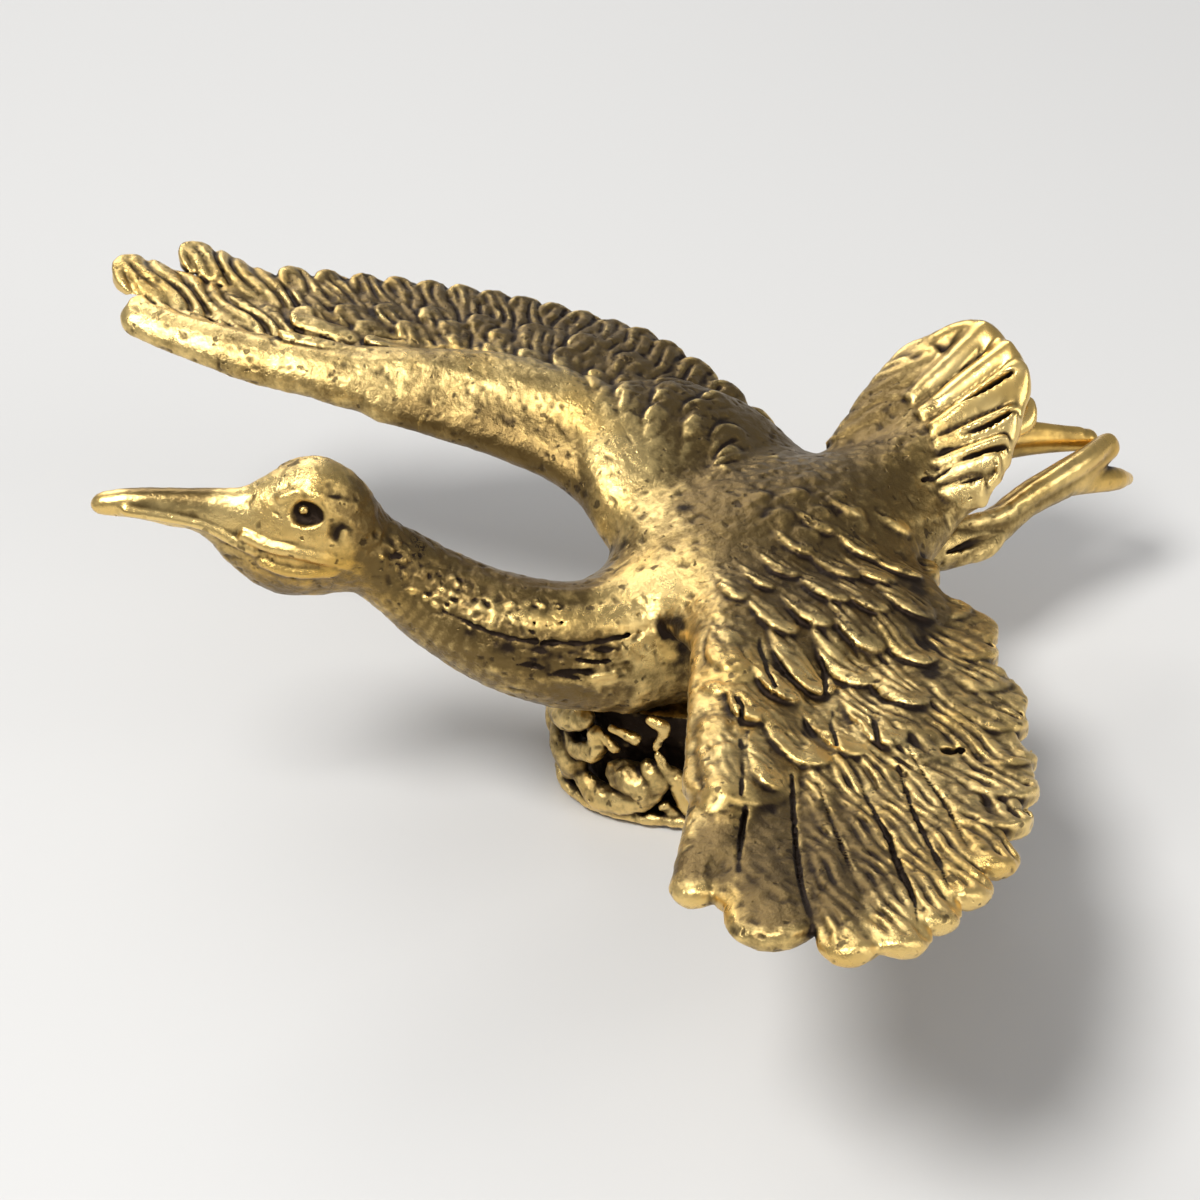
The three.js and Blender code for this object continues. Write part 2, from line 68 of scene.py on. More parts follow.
# Seats of the pieces: how far each runs into its neighbour, and how fast it draws in there

TONGUE = 0.5
TONGUE_SINK = 0.3


# Curves

def smooth(t):
    """0 below 0 and 1 above 1, with an even turn between."""
    t = np.clip(t, 0.0, 1.0)
    return t * t * (3 - 2 * t)


def spread(marks, at):
    """A smooth curve through marks, each a number and the values there, read at the numbers in at."""
    marks = np.array(marks, float)
    knots, values = marks[:, 0], marks[:, 1:]
    slopes = np.gradient(values, knots, axis=0)
    at = np.clip(np.asarray(at, float), knots[0], knots[-1])
    left = np.clip(np.searchsorted(knots, at, side="right") - 1, 0, len(knots) - 2)
    gap = (knots[left + 1] - knots[left])[..., None]
    t = (at - knots[left])[..., None] / gap
    a, b = values[left], values[left + 1]
    ma, mb = slopes[left] * gap, slopes[left + 1] * gap
    return ((2 * t**3 - 3 * t**2 + 1) * a + (t**3 - 2 * t**2 + t) * ma
            + (3 * t**2 - 2 * t**3) * b + (t**3 - t**2) * mb)


def numbered(points):
    """Points with their place in the list before them, as marks for spread."""
    return [(i, *p) for i, p in enumerate(points)]


def fine_line(points, steps=5):
    """The points of a smooth line through points, with steps pieces in each stretch."""
    count = (len(points) - 1) * steps + 1
    return spread(numbered(points), np.linspace(0, len(points) - 1, count))


def between(grid, base, part):
    """Values of a grid at the corners next to base, mixed by how far along each axis part is."""
    total = np.zeros(len(base), np.float32)
    size = np.array(grid.shape)
    for corner in np.ndindex(2, 2, 2):
        weight = np.ones(len(base), np.float32)
        for axis in range(3):
            weight *= part[:, axis] if corner[axis] else 1 - part[:, axis]
        at = (base + np.array(corner)) % size
        total += weight * grid[at[:, 0], at[:, 1], at[:, 2]]
    return total


# Signed distance: negative inside the metal

def soft_min(a, b, k):
    """The smaller distance, with a fillet about k wide where two shapes meet."""
    if k <= 0:
        return np.minimum(a, b)
    return np.minimum(a, b) - np.maximum(k - np.abs(a - b), 0) ** 2 / (4 * k)


def soft_max(a, b, k):
    """The larger distance, with the same kind of fillet."""
    return -soft_min(-a, -b, k)


class Shape:
    """A distance function and the box that it matters in. lift is the surface that its heights are over."""

    def __init__(self, distance, low, high, blend=0.15, lift=None, cuts=False):
        self.distance = distance
        self.low = np.array(low, float)
        self.high = np.array(high, float)
        self.blend = blend
        self.lift = lift
        self.cuts = cuts


class Field:
    """Distances on a grid of points, which may follow the surface of a wing."""

    def __init__(self, low, high, step, lift=None):
        self.low = np.array(low, float)
        self.step = step
        self.lift = lift
        self.count = [int(math.ceil((h - l) / step)) + 1 for l, h in zip(low, high)]
        self.value = np.full(self.count, FAR, np.float32)

    def add(self, shape):
        """Joins a shape to the field, or cuts it out, within its box."""
        spans = []
        for axis in range(3):
            first, last = 0, self.count[axis]
            if axis < 2 or shape.lift is self.lift:
                first = max(first, int(math.floor((shape.low[axis] - self.low[axis]) / self.step)))
                last = min(last, int(math.ceil((shape.high[axis] - self.low[axis]) / self.step)) + 1)
            if last - first < 1:
                return
            spans.append(slice(first, last))
        x, y, z = [
            (self.low[axis] + np.arange(s.start, s.stop) * self.step).astype(np.float32)
            for axis, s in enumerate(spans)
        ]
        x, y, z = x[:, None, None], y[None, :, None], z[None, None, :]
        if self.lift is not shape.lift:
            if self.lift is not None:
                z = z + self.lift(x, y)
            if shape.lift is not None:
                z = z - shape.lift(x, y)
        near = shape.distance(x, y, z)
        here = self.value[tuple(spans)]
        if shape.cuts:
            self.value[tuple(spans)] = soft_max(here, -near, shape.blend)
        else:
            self.value[tuple(spans)] = soft_min(here, near, shape.blend)

    def keep(self, axis, at, side):
        """Keeps what lies on one side of a plane, with a tongue that sinks under the neighbour's skin."""
        line = (self.low[axis] + np.arange(self.count[axis]) * self.step - at) * side
        line = line.astype(np.float32).reshape([-1 if i == axis else 1 for i in range(3)])
        sunk = self.value + TONGUE_SINK * np.maximum(-line, 0) ** 2
        self.value = np.maximum(sunk, -line - TONGUE)

    def sample(self, points):
        """Distances of the uncut bird at any points, by straight-line mixing between grid points."""
        spots = points.copy()
        if self.lift is not None:
            spots[:, 2] -= self.lift(points[:, 0], points[:, 1])
        spots = (spots - self.low) / self.step
        top = np.array(self.count) - 1.001
        spots = np.clip(spots, 0, top)
        base = np.floor(spots).astype(np.int32)
        return between(self.whole, base, (spots - base).astype(np.float32))

    def skin(self):
        """Points and four-sided faces of the surface where the distance is nothing."""
        inside = self.value < 0
        number = np.zeros([c - 1 for c in self.count], np.int8)
        for corner in np.ndindex(2, 2, 2):
            number += self._corner(inside, corner)
        mixed = (number > 0) & (number < 8)
        cells = np.argwhere(mixed)
        order = np.full(mixed.shape, -1, np.int32)
        order[mixed] = np.arange(len(cells))
        corners = {}
        for corner in np.ndindex(2, 2, 2):
            at = cells + np.array(corner)
            corners[corner] = self.value[at[:, 0], at[:, 1], at[:, 2]]
        total = np.zeros((len(cells), 3))
        crossings = np.zeros(len(cells))
        for axis in range(3):
            for start in np.ndindex(2, 2, 2):
                if start[axis]:
                    continue
                end = tuple(1 if i == axis else c for i, c in enumerate(start))
                a, b = corners[start], corners[end]
                cross = (a < 0) != (b < 0)
                share = np.where(cross, a / np.where(cross, a - b, 1), 0)
                spot = np.repeat(np.array(start, float)[None], len(cells), 0)
                spot[:, axis] = share
                total += spot * cross[:, None]
                crossings += cross
        points = self.low + (cells + total / crossings[:, None]) * self.step
        faces = []
        for axis in range(3):
            other, third = (axis + 1) % 3, (axis + 2) % 3
            here = [slice(1, -1)] * 3
            here[axis] = slice(0, -1)
            ahead = list(here)
            ahead[axis] = slice(1, None)
            a, b = inside[tuple(here)], inside[tuple(ahead)]
            edges = np.argwhere(a != b)
            flip = a[a != b]
            edges[:, other] += 1
            edges[:, third] += 1
            ring = []
            for back_other, back_third in ((1, 1), (0, 1), (0, 0), (1, 0)):
                cell = edges.copy()
                cell[:, other] -= back_other
                cell[:, third] -= back_third
                ring.append(order[cell[:, 0], cell[:, 1], cell[:, 2]])
            ring = np.stack(ring, 1)
            ring[~flip] = ring[~flip][:, ::-1]
            faces.append(ring)
        if self.lift is not None:
            points[:, 2] += self.lift(points[:, 0], points[:, 1])
        return points, np.concatenate(faces)

    @staticmethod
    def _corner(array, corner):
        spans = tuple(slice(1, None) if c else slice(0, -1) for c in corner)
        return array[spans].astype(np.int8)


# Simple shapes

MARGIN = 0.8


def ball(centre, sizes, turn=0.0, tip=0.0, blend=0.3, lift=None, cuts=False):
    """An egg with three half sizes, turned about Z and then tipped nose up, in degrees."""
    cx, cy, cz = centre
    a, b, c = sizes
    ct, st = math.cos(math.radians(turn)), math.sin(math.radians(turn))
    cp, sp = math.cos(math.radians(tip)), math.sin(math.radians(tip))

    def distance(x, y, z):
        dx, dy, dz = x - cx, y - cy, z - cz
        along, across = dx * ct + dy * st, dy * ct - dx * st
        along, up = along * cp + dz * sp, dz * cp - along * sp
        near = np.sqrt((along / a) ** 2 + (across / b) ** 2 + (up / c) ** 2)
        slope = np.sqrt((along / a**2) ** 2 + (across / b**2) ** 2 + (up / c**2) ** 2)
        return near * (near - 1) / np.maximum(slope, 1e-4)

    reach = max(sizes) + MARGIN
    return Shape(distance, np.array(centre) - reach, np.array(centre) + reach, blend, lift, cuts)


def rod(points, radii, blend=0.3, lift=None, cuts=False, flat=1.0, steps=5):
    """A round rod along a smooth line, with a radius at each point. flat is its height over its width."""
    line = fine_line(points, steps)
    sizes = fine_line([(r,) for r in radii], steps)[:, 0]

    def distance(x, y, z):
        nearest = None
        for (ax, ay, az), (bx, by, bz), ra, rb in zip(line, line[1:], sizes, sizes[1:]):
            ex, ey, ez = bx - ax, by - ay, (bz - az) / flat
            px, py, pz = x - ax, y - ay, (z - az) / flat
            span = ex * ex + ey * ey + ez * ez
            t = np.clip((px * ex + py * ey + pz * ez) / span, 0, 1)
            d = np.sqrt((px - ex * t) ** 2 + (py - ey * t) ** 2 + (pz - ez * t) ** 2) - (ra + (rb - ra) * t)
            nearest = d if nearest is None else np.minimum(nearest, d)
        return nearest * min(flat, 1.0)

    reach = np.max(sizes) + MARGIN
    return Shape(distance, line.min(0) - reach, line.max(0) + reach, blend, lift, cuts)


def feather(base, tip, wide, heights, thick, tilt=0.0, bend=0.0, taper=0.62, cup=0.45,
            barb=None, point=1.0, blend=0.08, lift=None, soft=0.25):
    """A blade from base to tip with a round end, drawn out where point is above 1. heights are those of
    its middle at both ends, tilt lifts its left side, cup makes it round on top, taper is how wide it
    starts, and barb is the pitch, depth and slant of its grooves."""
    base, tip = np.array(base, float), np.array(tip, float)
    run = tip - base
    length = float(np.hypot(*run))
    ahead = run / length
    across = np.array([-ahead[1], ahead[0]])
    round_at = max(0.3, 1 - point * wide / length)
    low_height, high_height = heights

    def distance(x, y, h):
        dx, dy = x - base[0], y - base[1]
        along = dx * ahead[0] + dy * ahead[1]
        u = along / length
        inner = np.clip(u, 0, 1)
        v = dx * across[0] + dy * across[1] - bend * length * 4 * inner * (1 - inner)
        half = wide * (taper + (1 - taper) * smooth(u / 0.5))
        share = np.clip(v / half, -1.3, 1.3)
        past = np.maximum(u - round_at, 0) * length
        outline = np.maximum(np.sqrt((past / point) ** 2 + v**2) - half, -along - 0.3)
        middle = low_height + (high_height - low_height) * smooth(u) + tilt * share
        rest = thick / 2 * (1 - cup * share**2)
        if barb:
            pitch, depth, slant = barb
            c, s = math.cos(math.radians(slant)), math.sin(math.radians(slant))
            wobble = 0.24 * np.sin(along * 1.3 + base[0] * 3) + 0.18 * np.sin(v * 2.1 + base[1] * 5)
            wave = 0.5 + 0.5 * np.cos(2 * math.pi * ((v * c - along * s) / pitch + wobble))
            uneven = 0.7 + 0.3 * np.sin(along * 1.7 + v * 2.3 + base[1])
            fade = 1 - 0.85 * smooth((past - wide * 0.25) / (wide * 0.5))
            rest = rest - depth * 1.3 * uneven * wave**2.2 * fade
        return soft_max(outline, np.abs(h - middle) - rest, soft)

    reach = wide + MARGIN + abs(bend) * length
    lows = np.minimum(base, tip) - reach
    highs = np.maximum(base, tip) + reach
    depth_reach = thick / 2 + abs(tilt) + MARGIN
    low = [*lows, min(heights) - depth_reach]
    high = [*highs, max(heights) + depth_reach]
    return Shape(distance, low, high, blend, lift)


def feather_row(bases, tips, count, wide, heights, thick, **facts):
    """count blades whose bases and tips follow two smooth lines, numbered from 0 at the wing tip."""
    at = np.arange(count)
    return [feather(base, tip, wide, heights, thick, **facts)
            for base, tip in zip(spread(bases, at), spread(tips, at))]


# Wings

class Wing:
    """Where a wing lies: the middle surface rises outwards and pitches down behind its leading edge."""

    def __init__(self, side, rise, root_x, lead):
        self.side = side
        self.rise = rise
        self.root_x = root_x
        self.lead = np.array(fine_line(lead, 8))

    def lift(self, x, y):
        """Height of the wing's middle surface."""
        out = (self.side * y - WING_ROOT_Y) / WING_SPAN
        back = (x - self.root_x) / WING_SPAN
        front = np.interp(out, self.lead[:, 0], self.lead[:, 1]).astype(np.float32)
        rise = self.rise * ((out + np.sqrt(out**2 + 0.0025)) / 2) ** 0.8
        return WING_ROOT_HEIGHT + rise - WING_PITCH * WING_SPAN * np.maximum(back - front, 0)


LEFT = Wing(-1, 6.4, -2.4, [(0, 0.02), (0.2, -0.2), (0.46, -0.36), (0.6, -0.47)])
RIGHT = Wing(1, 9.2, -3.2, [(0, 0), (0.14, 0.06), (0.27, 0.05), (0.42, -0.06), (0.55, -0.22), (0.8, -0.4)])


def left_wing_base():
    """The smooth blade of the near wing, before any feather."""
    lift = LEFT.lift
    arm = rod(
        [(-0.2, -2.6, 0.2), (-2.0, -5.8, 0.3), (-5.6, -9.9, 0.25), (-9.2, -14.6, 0.15),
         (-12.6, -19.1, 0.05), (-15.8, -22.2, 0.0)],
        [2.7, 2.4, 2.05, 1.8, 1.5, 1.1], blend=1.0, lift=lift, flat=0.62,
    )
    filling = feather((-1.6, -6.6), (-13.4, -20.0), 2.6, (0.5, 0.25), 1.3, taper=0.9, blend=0.9, lift=lift)
    shoulder = ball((2.2, -5.6, 0.2), (7.4, 7.4, 1.7), blend=1.6, lift=lift)
    return [shoulder, arm, filling]


def fissure(line, size, height, lift):
    """A narrow crack with pointed ends, cut down into the feathers."""
    sizes = [size * (0.35 if i in (0, len(line) - 1) else 1) for i in range(len(line))]
    return rod([(x, y, height) for x, y in line], sizes, blend=0.1, cuts=True, lift=lift, flat=4.0)


def left_flight():
    """The near wing's long feathers, from the tip of the wing to the body."""
    laid = [
        ((-10.6, -15.4), (-18.9, -23.9), 1.3, 0.8, 0.03),
        ((-8.6, -15.6), (-18.4, -28.8), 2.3, 0.5, 0.04),
        ((-7.0, -17.2), (-17.0, -31.8), 1.5, 0.6, 0.12),
        ((-5.8, -17.4), (-15.1, -32.7), 1.45, 0.6, 0.2),
        ((-4.2, -17.4), (-12.8, -32.1), 1.4, 0.6, 0.22),
        ((-2.8, -17.4), (-10.3, -31.3), 1.4, 0.65, 0.22),
        ((-1.4, -16.8), (-7.6, -30.1), 1.5, 0.65, 0.22),
    ]
    blades = [
        feather(base, tip, wide, (0.15, -0.05), 1.25, tilt=-0.1, taper=taper, cup=0.6,
                barb=(0.72, deep, 20), bend=0.015, blend=0.2, lift=LEFT.lift, soft=0.6)
        for base, tip, wide, taper, deep in laid
    ]
    inner = feather_row(
        bases=[(0, -0.6, -15.4), (3, 3.4, -10.6), (7, 7.0, -3.6)],
        tips=[(0, -4.6, -27.8), (1, -2.3, -25.9), (3, 2.0, -21.0), (4, 4.0, -18.0), (5, 6.0, -15.2),
              (7, 10.4, -6.8)],
        count=8, wide=1.8, heights=(0.15, -0.05), thick=1.2,
        tilt=-0.16, cup=0.3, barb=(0.98, 0.36, 9), blend=0.2, lift=LEFT.lift,
    )
    webs = [
        feather(base, tip, wide, (0.0, -0.1), 0.9, taper=0.7, cup=0.3, blend=0.3, lift=LEFT.lift)
        for base, tip, wide in (((-9.8, -15.0), (-17.4, -24.6), 1.6), ((-7.6, -13.6), (-17.2, -27.0), 2.5),
                                ((-3.0, -14.0), (-13.6, -30.4), 2.6), ((-0.4, -13.0), (-8.4, -28.6), 2.6),
                                ((2.0, -10.6), (-2.4, -25.0), 2.6), ((4.4, -8.0), (2.6, -19.8), 2.6),
                                ((6.0, -5.0), (7.2, -13.8), 2.6))
    ]
    partings = [
        ([(-9.8, -16.6), (-12.6, -19.7), (-15.0, -22.2), (-17.0, -24.6)], 0.08),
        ([(-9.8, -19.3), (-12.7, -23.0), (-15.5, -26.9), (-17.9, -31.0)], 0.1),
        ([(-9.0, -20.0), (-11.9, -25.2), (-15.1, -30.8)], 0.07),
        ([(-7.6, -21.4), (-9.6, -25.4), (-10.8, -27.4), (-12.3, -30.1), (-14.0, -32.4)], 0.1),
        ([(-4.9, -20.8), (-7.7, -25.2), (-9.4, -28.5), (-11.4, -31.6)], 0.09),
        ([(-3.6, -20.0), (-6.0, -25.4), (-8.8, -30.6)], 0.08),
    ]
    grooves = [fissure(line, size, 0.65, LEFT.lift) for line, size in partings]
    return [*webs, *blades, *inner, *grooves]


# Lines on the near wing seen from above: short cracks, the seams where most painted shade lies, and the
# edge of the short feathers

LEFT_CRACKS = [
    [(-4.6, -10.8), (-5.4, -12.2), (-6.2, -13.8)], [(-8.4, -13.6), (-9.0, -14.8), (-9.8, -15.6)],
    [(-4.0, -15.2), (-5.4, -16.8), (-6.6, -18.6)], [(-2.9, -16.6), (-3.8, -18.0), (-4.7, -19.2)],
    [(-1.6, -11.6), (-2.6, -13.0), (-3.9, -14.6)], [(-10.4, -16.4), (-12.0, -18.6), (-13.2, -20.0)],
    [(-3.7, -9.4), (-4.4, -10.4), (-4.9, -11.5)],
]
LEFT_SEAMS = [
    [(-9.6, -16.0), (-12.6, -19.7), (-15.0, -22.2), (-16.6, -24.0)],
    [(-9.8, -19.3), (-12.7, -23.0), (-15.5, -26.9), (-17.9, -31.0)],
    [(-7.6, -21.4), (-9.6, -25.4), (-12.3, -30.1), (-14.0, -32.4)],
    [(-4.9, -20.8), (-7.7, -25.2), (-9.4, -28.5), (-11.4, -31.6)],
]
LEFT_BORDER = [[(7.6, -8.0), (6.0, -10.4), (4.4, -12.8), (2.1, -15.6), (-0.4, -17.6), (-3.1, -19.8)]]


def left_coverts(top):
    """The near wing's short feathers, laid over the blade in rows. Each row is how high it stands and
    how deep its barbs are, and each feather its base, tip and half width."""
    rows = [
        (0.22, 0.03, [
            ((-8.8, -12.6), (-13.6, -20.4), 1.4), ((-8.8, -15.6), (-11.5, -20.2), 0.85),
            ((-6.0, -12.6), (-8.4, -19.4), 1.4), ((-3.6, -12.6), (-6.2, -19.5), 1.15),
        ]),
        (0.24, 0.12, [
            ((-0.8, -12.4), (-4.2, -19.7), 1.25), ((2.4, -10.2), (-1.0, -17.6), 1.35),
            ((4.6, -8.4), (2.4, -14.6), 1.3), ((6.2, -6.4), (5.4, -11.4), 1.25),
            ((7.4, -4.4), (7.9, -8.0), 1.2),
        ]),
        (0.60, 0.03, [
            ((-6.4, -11.0), (-9.0, -15.6), 0.9), ((-4.2, -9.8), (-6.0, -14.5), 0.95),
            ((-3.8, -7.0), (-7.0, -11.6), 1.15), ((-1.4, -7.8), (-3.8, -14.2), 1.2),
        ]),
        (0.34, 0.08, [
            ((1.0, -8.0), (-1.4, -14.6), 1.25), ((2.8, -7.2), (1.0, -12.6), 1.2),
            ((4.4, -6.0), (3.3, -10.4), 1.15), ((5.8, -4.4), (5.6, -8.4), 1.1),
        ]),
        (0.30, 0.06, [
            ((-1.0, -5.4), (-2.0, -9.8), 1.05), ((0.9, -5.6), (0.0, -10.2), 1.1),
            ((2.6, -4.6), (2.2, -9.0), 1.1), ((4.4, -3.2), (4.2, -7.4), 1.05),
            ((6.6, -2.6), (6.6, -6.2), 1.0),
        ]),
        (0.20, 0.1, [
            ((-1.6, -3.8), (-2.4, -6.6), 0.7), ((0.0, -3.4), (-0.4, -6.4), 0.75),
            ((1.6, -2.6), (1.5, -6.0), 0.8), ((3.4, -1.8), (3.4, -4.8), 0.8),
            ((5.2, -1.2), (5.6, -4.0), 0.8), ((7.4, -0.8), (8.0, -3.6), 0.8),
            ((9.0, -2.4), (10.2, -4.6), 0.75),
        ]),
    ]
    lobes = [
        feather(base, tip, wide, (-0.42, raised * 0.6 - 0.24), 0.8, tilt=-0.2, cup=0.35,
                barb=(0.6, deep + 0.06, 16), point=1.5, blend=0.1, lift=top)
        for raised, deep, laid in rows
        for base, tip, wide in laid
    ]
    lumps = [
        ((-5.0, -8.8, 0.0), (0.8, 0.55, 0.3), 80), ((-7.3, -10.6, -0.1), (1.0, 0.6, 0.3), 40),
        ((-8.4, -12.0, 0.0), (0.7, 0.5, 0.3), 100), ((-10.6, -14.6, -0.1), (1.1, 0.7, 0.3), 60),
        ((-11.8, -16.8, 0.0), (0.8, 0.5, 0.3), 20), ((-14.0, -19.2, 0.0), (1.0, 0.7, 0.34), 50),
        ((-6.8, -11.8, -0.1), (1.0, 0.7, 0.45), 0),
    ]
    knots = [ball(place, sizes, turn=turn, blend=0.25, lift=top) for place, sizes, turn in lumps]

    def crack(line, radii):
        return rod([(x, y, 0.3) for x, y in line], radii, blend=0.12, cuts=True, lift=top, flat=2.0)

    def hole(low, high, radii):
        return rod([(*low, -2.0), (*high, 1.0)], radii, blend=0.1, cuts=True, lift=top)

    pits = [
        crack([(-3.7, -9.4), (-4.2, -10.2), (-4.8, -11.2)], [0.07, 0.13, 0.09]),
        *[crack(line, [0.09, 0.126, 0.09]) for line in LEFT_CRACKS],
        hole((-2.1, -21.1), (-2.1, -21.1), [0.34, 0.38]),
        hole((-1.4, -21.3), (-1.6, -21.2), [0.2, 0.24]),
    ]
    return [*lobes, *knots, *pits]


def right_wing_base():
    """The smooth blade of the far wing, before any feather."""
    lift = RIGHT.lift
    arm = rod(
        [(0.8, 2.6, 0.2), (2.0, 7.6, 0.2), (1.2, 11.8, 0.2), (-1.9, 15.8, 0.15), (-6.4, 18.8, 0.1),
         (-10.8, 22.0, 0.05), (-13.9, 25.8, 0.0), (-15.8, 28.6, 0.0)],
        [2.8, 2.7, 2.5, 2.3, 2.0, 1.65, 1.35, 1.1], blend=0.8, lift=lift, flat=0.72,
    )
    wrist = ball((-8.6, 18.9, 0.0), (2.2, 1.1, 1.0), turn=140, blend=0.8, lift=lift)
    front = rod(
        [(-0.9, 5.6, -0.6), (-0.5, 8.2, -0.7), (-1.5, 11.2, -0.7), (-3.9, 14.4, -0.6), (-7.6, 17.6, -0.4)],
        [1.6, 1.7, 1.7, 1.6, 1.1], blend=0.7, lift=lift, flat=0.8,
    )
    shoulder = ball((4.8, 5.4, 0.7), (6.6, 7.0, 1.9), blend=1.8, lift=lift)
    return [shoulder, arm, wrist, front]


def right_flight():
    """The far wing's feathers: three spread fingers, then a scalloped edge."""
    fingers = [
        ((-7.6, 19.2), (-15.9, 29.6), 1.5, 0.9), ((-6.2, 21.2), (-14.9, 32.9), 1.9, 0.9),
        ((-4.4, 22.4), (-10.6, 33.2), 1.6, 0.9),
    ]
    blades = [
        feather(base, tip, wide, (0.15, 0.05), 1.3, tilt=0.12, taper=taper, cup=0.6, barb=(0.95, 0.26, -41),
                lift=RIGHT.lift)
        for base, tip, wide, taper in fingers
    ]
    edge = feather_row(
        bases=[(0, -3.4, 20.6), (3, -0.6, 18.0), (6, 1.8, 15.0), (10, 3.4, 10.8), (15, 4.4, 4.4)],
        tips=[(0, -6.2, 29.9), (2, -2.4, 28.3), (4, 1.0, 26.5), (6, 4.0, 24.4), (8, 6.6, 22.0),
              (10, 8.7, 19.2), (12, 10.1, 15.8), (15, 11.4, 9.0)],
        count=16, wide=1.25, heights=(0.2, 0.05), thick=1.2,
        tilt=0.16, cup=0.45, barb=(0.72, 0.18, -20), blend=0.16, lift=RIGHT.lift,
    )
    webs = [
        feather(base, tip, wide, (0.0, 0.0), 0.9, taper=0.8, cup=0.3, blend=0.3, lift=RIGHT.lift)
        for base, tip, wide in (((-4.0, 18.0), (-11.4, 29.0), 2.6), ((-1.0, 17.0), (-4.6, 28.0), 2.6),
                                ((1.0, 13.0), (1.6, 25.0), 2.8), ((2.0, 8.0), (6.6, 20.4), 2.8),
                                ((3.0, 4.0), (9.0, 14.4), 2.8), ((4.0, 3.0), (10.2, 8.0), 2.2))
    ]
    return [*webs, *blades, *edge]


def right_coverts(top):
    """The far wing's short rough feathers and the long lobes beside its smooth arm."""

    def row(count, wide, rise, point, bases, tips):
        return feather_row(bases, tips, count, wide, (-0.5, rise), 0.8, tilt=0.16, cup=0.35, taper=0.8,
                           barb=(0.7, 0.16, -28), point=point, blend=0.14, lift=top)

    rows = [
        *row(10, 1.25, -0.16, 1.4, [(0, -6.0, 21.4), (3, -0.8, 18.6), (6, 3.0, 13.0), (9, 5.0, 5.4)],
             [(0, -7.8, 26.0), (3, -0.9, 23.6), (6, 5.9, 17.8), (9, 9.2, 9.2)]),
        *row(9, 1.2, -0.18, 1.4, [(0, -4.6, 19.4), (3, 0.6, 15.6), (5, 3.4, 9.4), (8, 4.4, 3.4)],
             [(0, -5.4, 23.4), (3, 1.6, 20.2), (5, 5.8, 13.2), (8, 7.8, 6.6)]),
        *row(9, 0.75, -0.16, 2.0, [(0, -1.4, 16.4), (5, 2.6, 8.4), (8, 2.6, 2.2)],
             [(0, -1.4, 20.4), (5, 5.0, 12.4), (8, 6.6, 5.2)]),
        *row(5, 0.75, -0.16, 2.0, [(0, 1.4, 13.0), (3, 1.6, 7.4), (5, 1.0, 3.2)],
             [(0, 1.6, 17.2), (3, 4.0, 11.4), (5, 4.4, 6.4)]),
    ]
    spans = [((-7.2, 19.8), (-10.4, 23.3)), ((-5.2, 20.8), (-8.8, 24.8)), ((-2.8, 19.6), (-6.4, 21.2))]
    lobes = [feather(base, tip, 0.8, (-0.3, 0.18), 0.8, cup=0.5, lift=top) for base, tip in spans]
    return [*rows, *lobes]


# Body, neck and head

def oval_trunk(stations, blend=0.4, place=None, reach=None):
    """A trunk of ovals. Each station is how far along, half the width, the top and the bottom.
    place turns x, y and z into along, across and up, where the trunk doesn't lie along X."""
    stations = np.array(stations, float)
    line = np.linspace(stations[0, 0], stations[-1, 0], 90)
    values = spread(stations, line)
    first, last = stations[0, 0], stations[-1, 0]

    def distance(x, y, z):
        if place is not None:
            x, y, z = place(x, y, z)
        half = np.interp(x, line, values[:, 0]).astype(np.float32)
        top = np.interp(x, line, values[:, 1]).astype(np.float32)
        bottom = np.interp(x, line, values[:, 2]).astype(np.float32)
        middle = bottom + (top - bottom) * 0.55
        tall = np.where(z > middle, top - middle, middle - bottom)
        near = np.sqrt((y / half) ** 2 + ((z - middle) / tall) ** 2)
        slope = np.sqrt((y / half**2) ** 2 + ((z - middle) / tall**2) ** 2)
        round_part = near * (near - 1) / np.maximum(slope, 1e-3)
        return soft_max(round_part, np.maximum(first - x, x - last), 0.4)

    if reach is None:
        wide = values[:, 0].max() + MARGIN
        reach = ((first - MARGIN, -wide, values[:, 2].min() - MARGIN),
                 (last + MARGIN, wide, values[:, 1].max() + MARGIN))
    return Shape(distance, *reach, blend)


def body_base():
    """The egg of the body, from breast to rump."""
    trunk = oval_trunk([
        (-6.6, 3.3, 13.3, 6.6), (-4.2, 3.9, 13.6, 5.9), (-2.2, 5.0, 14.2, 5.5), (0.8, 5.8, 14.8, 5.4),
        (4.0, 5.9, 14.9, 5.4), (7.7, 5.7, 14.4, 6.1), (10.3, 5.2, 13.5, 7.0), (12.3, 4.7, 12.8, 7.9),
        (14.6, 4.0, 12.6, 9.6), (16.0, 3.4, 13.0, 11.2),
    ], blend=1.8)
    return [trunk]


def back_scales(top):
    """Short flat feathers in rows across the back, pointing to the tail."""
    scales = []
    random = np.random.default_rng(5)
    for row in range(6):
        x = 1.8 + row * 1.8
        for i in range(-2, 3):
            y = (i + 0.5 * (row % 2)) * 1.7 + random.uniform(-0.15, 0.15)
            lean = 0.22 * y
            base = (x + random.uniform(-0.2, 0.2), y)
            tip = (base[0] + 2.9, y + lean * 0.5)
            rise = random.uniform(-0.24, -0.12) - 0.14 * (y > 0.5)
            scales.append(feather(base, tip, 0.95, (-0.5, rise), 0.8, cup=0.6, barb=(0.6, 0.16, 20),
                                  point=1.8, blend=0.12, lift=top))
    return scales


